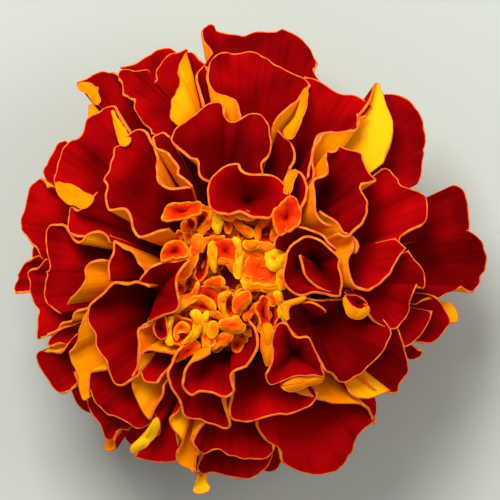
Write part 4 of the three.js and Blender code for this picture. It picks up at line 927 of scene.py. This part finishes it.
def make_claws(material):
    thing = turned_object("claw_bundle", CLAWS_PROFILE, LATHE_SIDES, fluted(*CLAWS_FLUTES))
    declare(thing, "ray_florets", material)


def cup_profile():
    radii, heights = np.array(CUP_PROFILE).T
    levels = np.linspace(heights[0], heights[-1], CUP_LEVELS)
    outside = list(zip(np.interp(levels, heights, radii), CUP_BASE + levels))
    floor = CUP_BASE + CUP_WALL
    inside = [(radius - CUP_WALL, height) for radius, height in outside[::-1] if height > floor]
    return [(CUP_HOLE, CUP_BASE), *outside, *inside, (CUP_HOLE, floor)]


def make_cup(material):
    def bracts(around, radius, height):
        bract = np.abs(np.cos(CUP_BRACTS * around / 2))
        up = (height - CUP_BASE) / CUP_PROFILE[-1][1]
        ridge = CUP_RIDGE / radius * (bract - CUP_RIDGE_MIDDLE) * min(1, up / CUP_RIDGE_START)
        notch = CUP_NOTCH * (1 - bract) * max(0, up) ** CUP_NOTCH_POWER
        return 1 + ridge * (radius > CUP_PLAIN), -notch

    thing = turned_object("involucre_fine", cup_profile(), CUP_SIDES, bracts)
    declare(thing, "involucre", material)


def make_stem(material):
    profile = [(radius, STEM_END + over) for radius, over in STEM_PROFILE]
    profile += [(radius, CUP_BASE + over) for radius, over in SWELLING_PROFILE]
    thing = turned_object("peduncle_fine", profile, LATHE_SIDES, fluted(*STEM_RIBS))
    declare(thing, "peduncle", material)


# Making the flower

def make_petals(material):
    """One object for each first word of the rows' names, and one for each drooping whorl."""
    groups = {}
    for row in PETALS:
        groups.setdefault(row[0].split()[0], []).append(read_petal(*row))
    draws = seeded_random(SEED)
    for number, whorl in enumerate(DROOPING_WHORLS, start=1):
        groups[f"drooping_{number}"] = drooping_petals(draws, **whorl)
    for place, petals in groups.items():
        petals_object(f"petals_{place}", petals, PETAL_MAKE, "ray_florets", material)


def make_disc(material):
    for name, rows, make in (
        ("disc_florets_fine", DISC_FLORETS, FLORET_MAKE),
        ("disc_florets_small", filler_florets(), FILLER_MAKE),
    ):
        petals_object(name, [read_floret(*row) for row in rows], make, "disc_florets", material)


make_petals(petal_material())
make_disc(disc_material())
make_claws(claw_material())
make_cup(green_material("cup", CUP_GREENS))
make_stem(green_material("stem", STEM_GREENS))


# Floor, light and camera

FLOOR_SIDE = 3.0
FLOOR_GREY = (200, 204, 194)
CAMERA_DISTANCE = 1.0  # from the middle of the dome
CAMERA_SENSOR = 36.0
LIT_HEIGHT = 20 * MM  # of the place that the lights point at
SKY_COLOUR = (0.95, 0.97, 1.0, 1)
SKY_STRENGTH = 0.36


def over_square_middle(height):
    across, down = (SQUARE_MIDDLE - SQUARE_AXIS) * TENTH
    return Vector((AXIS[0] + across, AXIS[1] - down, height))


def make_floor():
    half = FLOOR_SIDE / 2
    corners = [(-half, -half, 0), (half, -half, 0), (half, half, 0), (-half, half, 0)]
    mesh = bpy.data.meshes.new("floor")
    mesh.from_pydata(corners, [], [(0, 1, 2, 3)])
    mesh.materials.append(Nodes("floor").finish(FLOOR_GREY, roughness=0.9))
    floor = add_object("floor", mesh)


def make_light(name, place, size, watts):
    data = bpy.data.lights.new(name, "AREA")
    data.size = size
    data.energy = watts
    light = add_object(name, data)
    light.location = place
    towards = over_square_middle(LIT_HEIGHT) - light.location
    light.rotation_euler = towards.to_track_quat("-Z", "Y").to_euler()


def make_sky():
    world = bpy.data.worlds.new("world")
    world.use_nodes = True
    background = world.node_tree.nodes["Background"]
    background.inputs["Color"].default_value = SKY_COLOUR
    background.inputs["Strength"].default_value = SKY_STRENGTH
    bpy.context.scene.world = world


def make_camera():
    data = bpy.data.cameras.new("camera")
    data.sensor_width = CAMERA_SENSOR
    data.lens = CAMERA_SENSOR * CAMERA_DISTANCE / SQUARE_SIDE
    data.clip_end = 10
    camera = add_object("camera", data)
    camera.location = over_square_middle(AXIS[2] + (DOME_TOP + DOME_EDGE) / 2 + CAMERA_DISTANCE)
    bpy.context.scene.camera = camera


make_floor()
make_camera()
make_light("sky", place=(-0.12, 0.32, 0.45), size=0.28, watts=3.3)
make_light("side", place=(0.4, 0.1, 0.4), size=0.3, watts=0.7)
make_sky()
bpy.context.scene.view_settings.view_transform = "Standard"
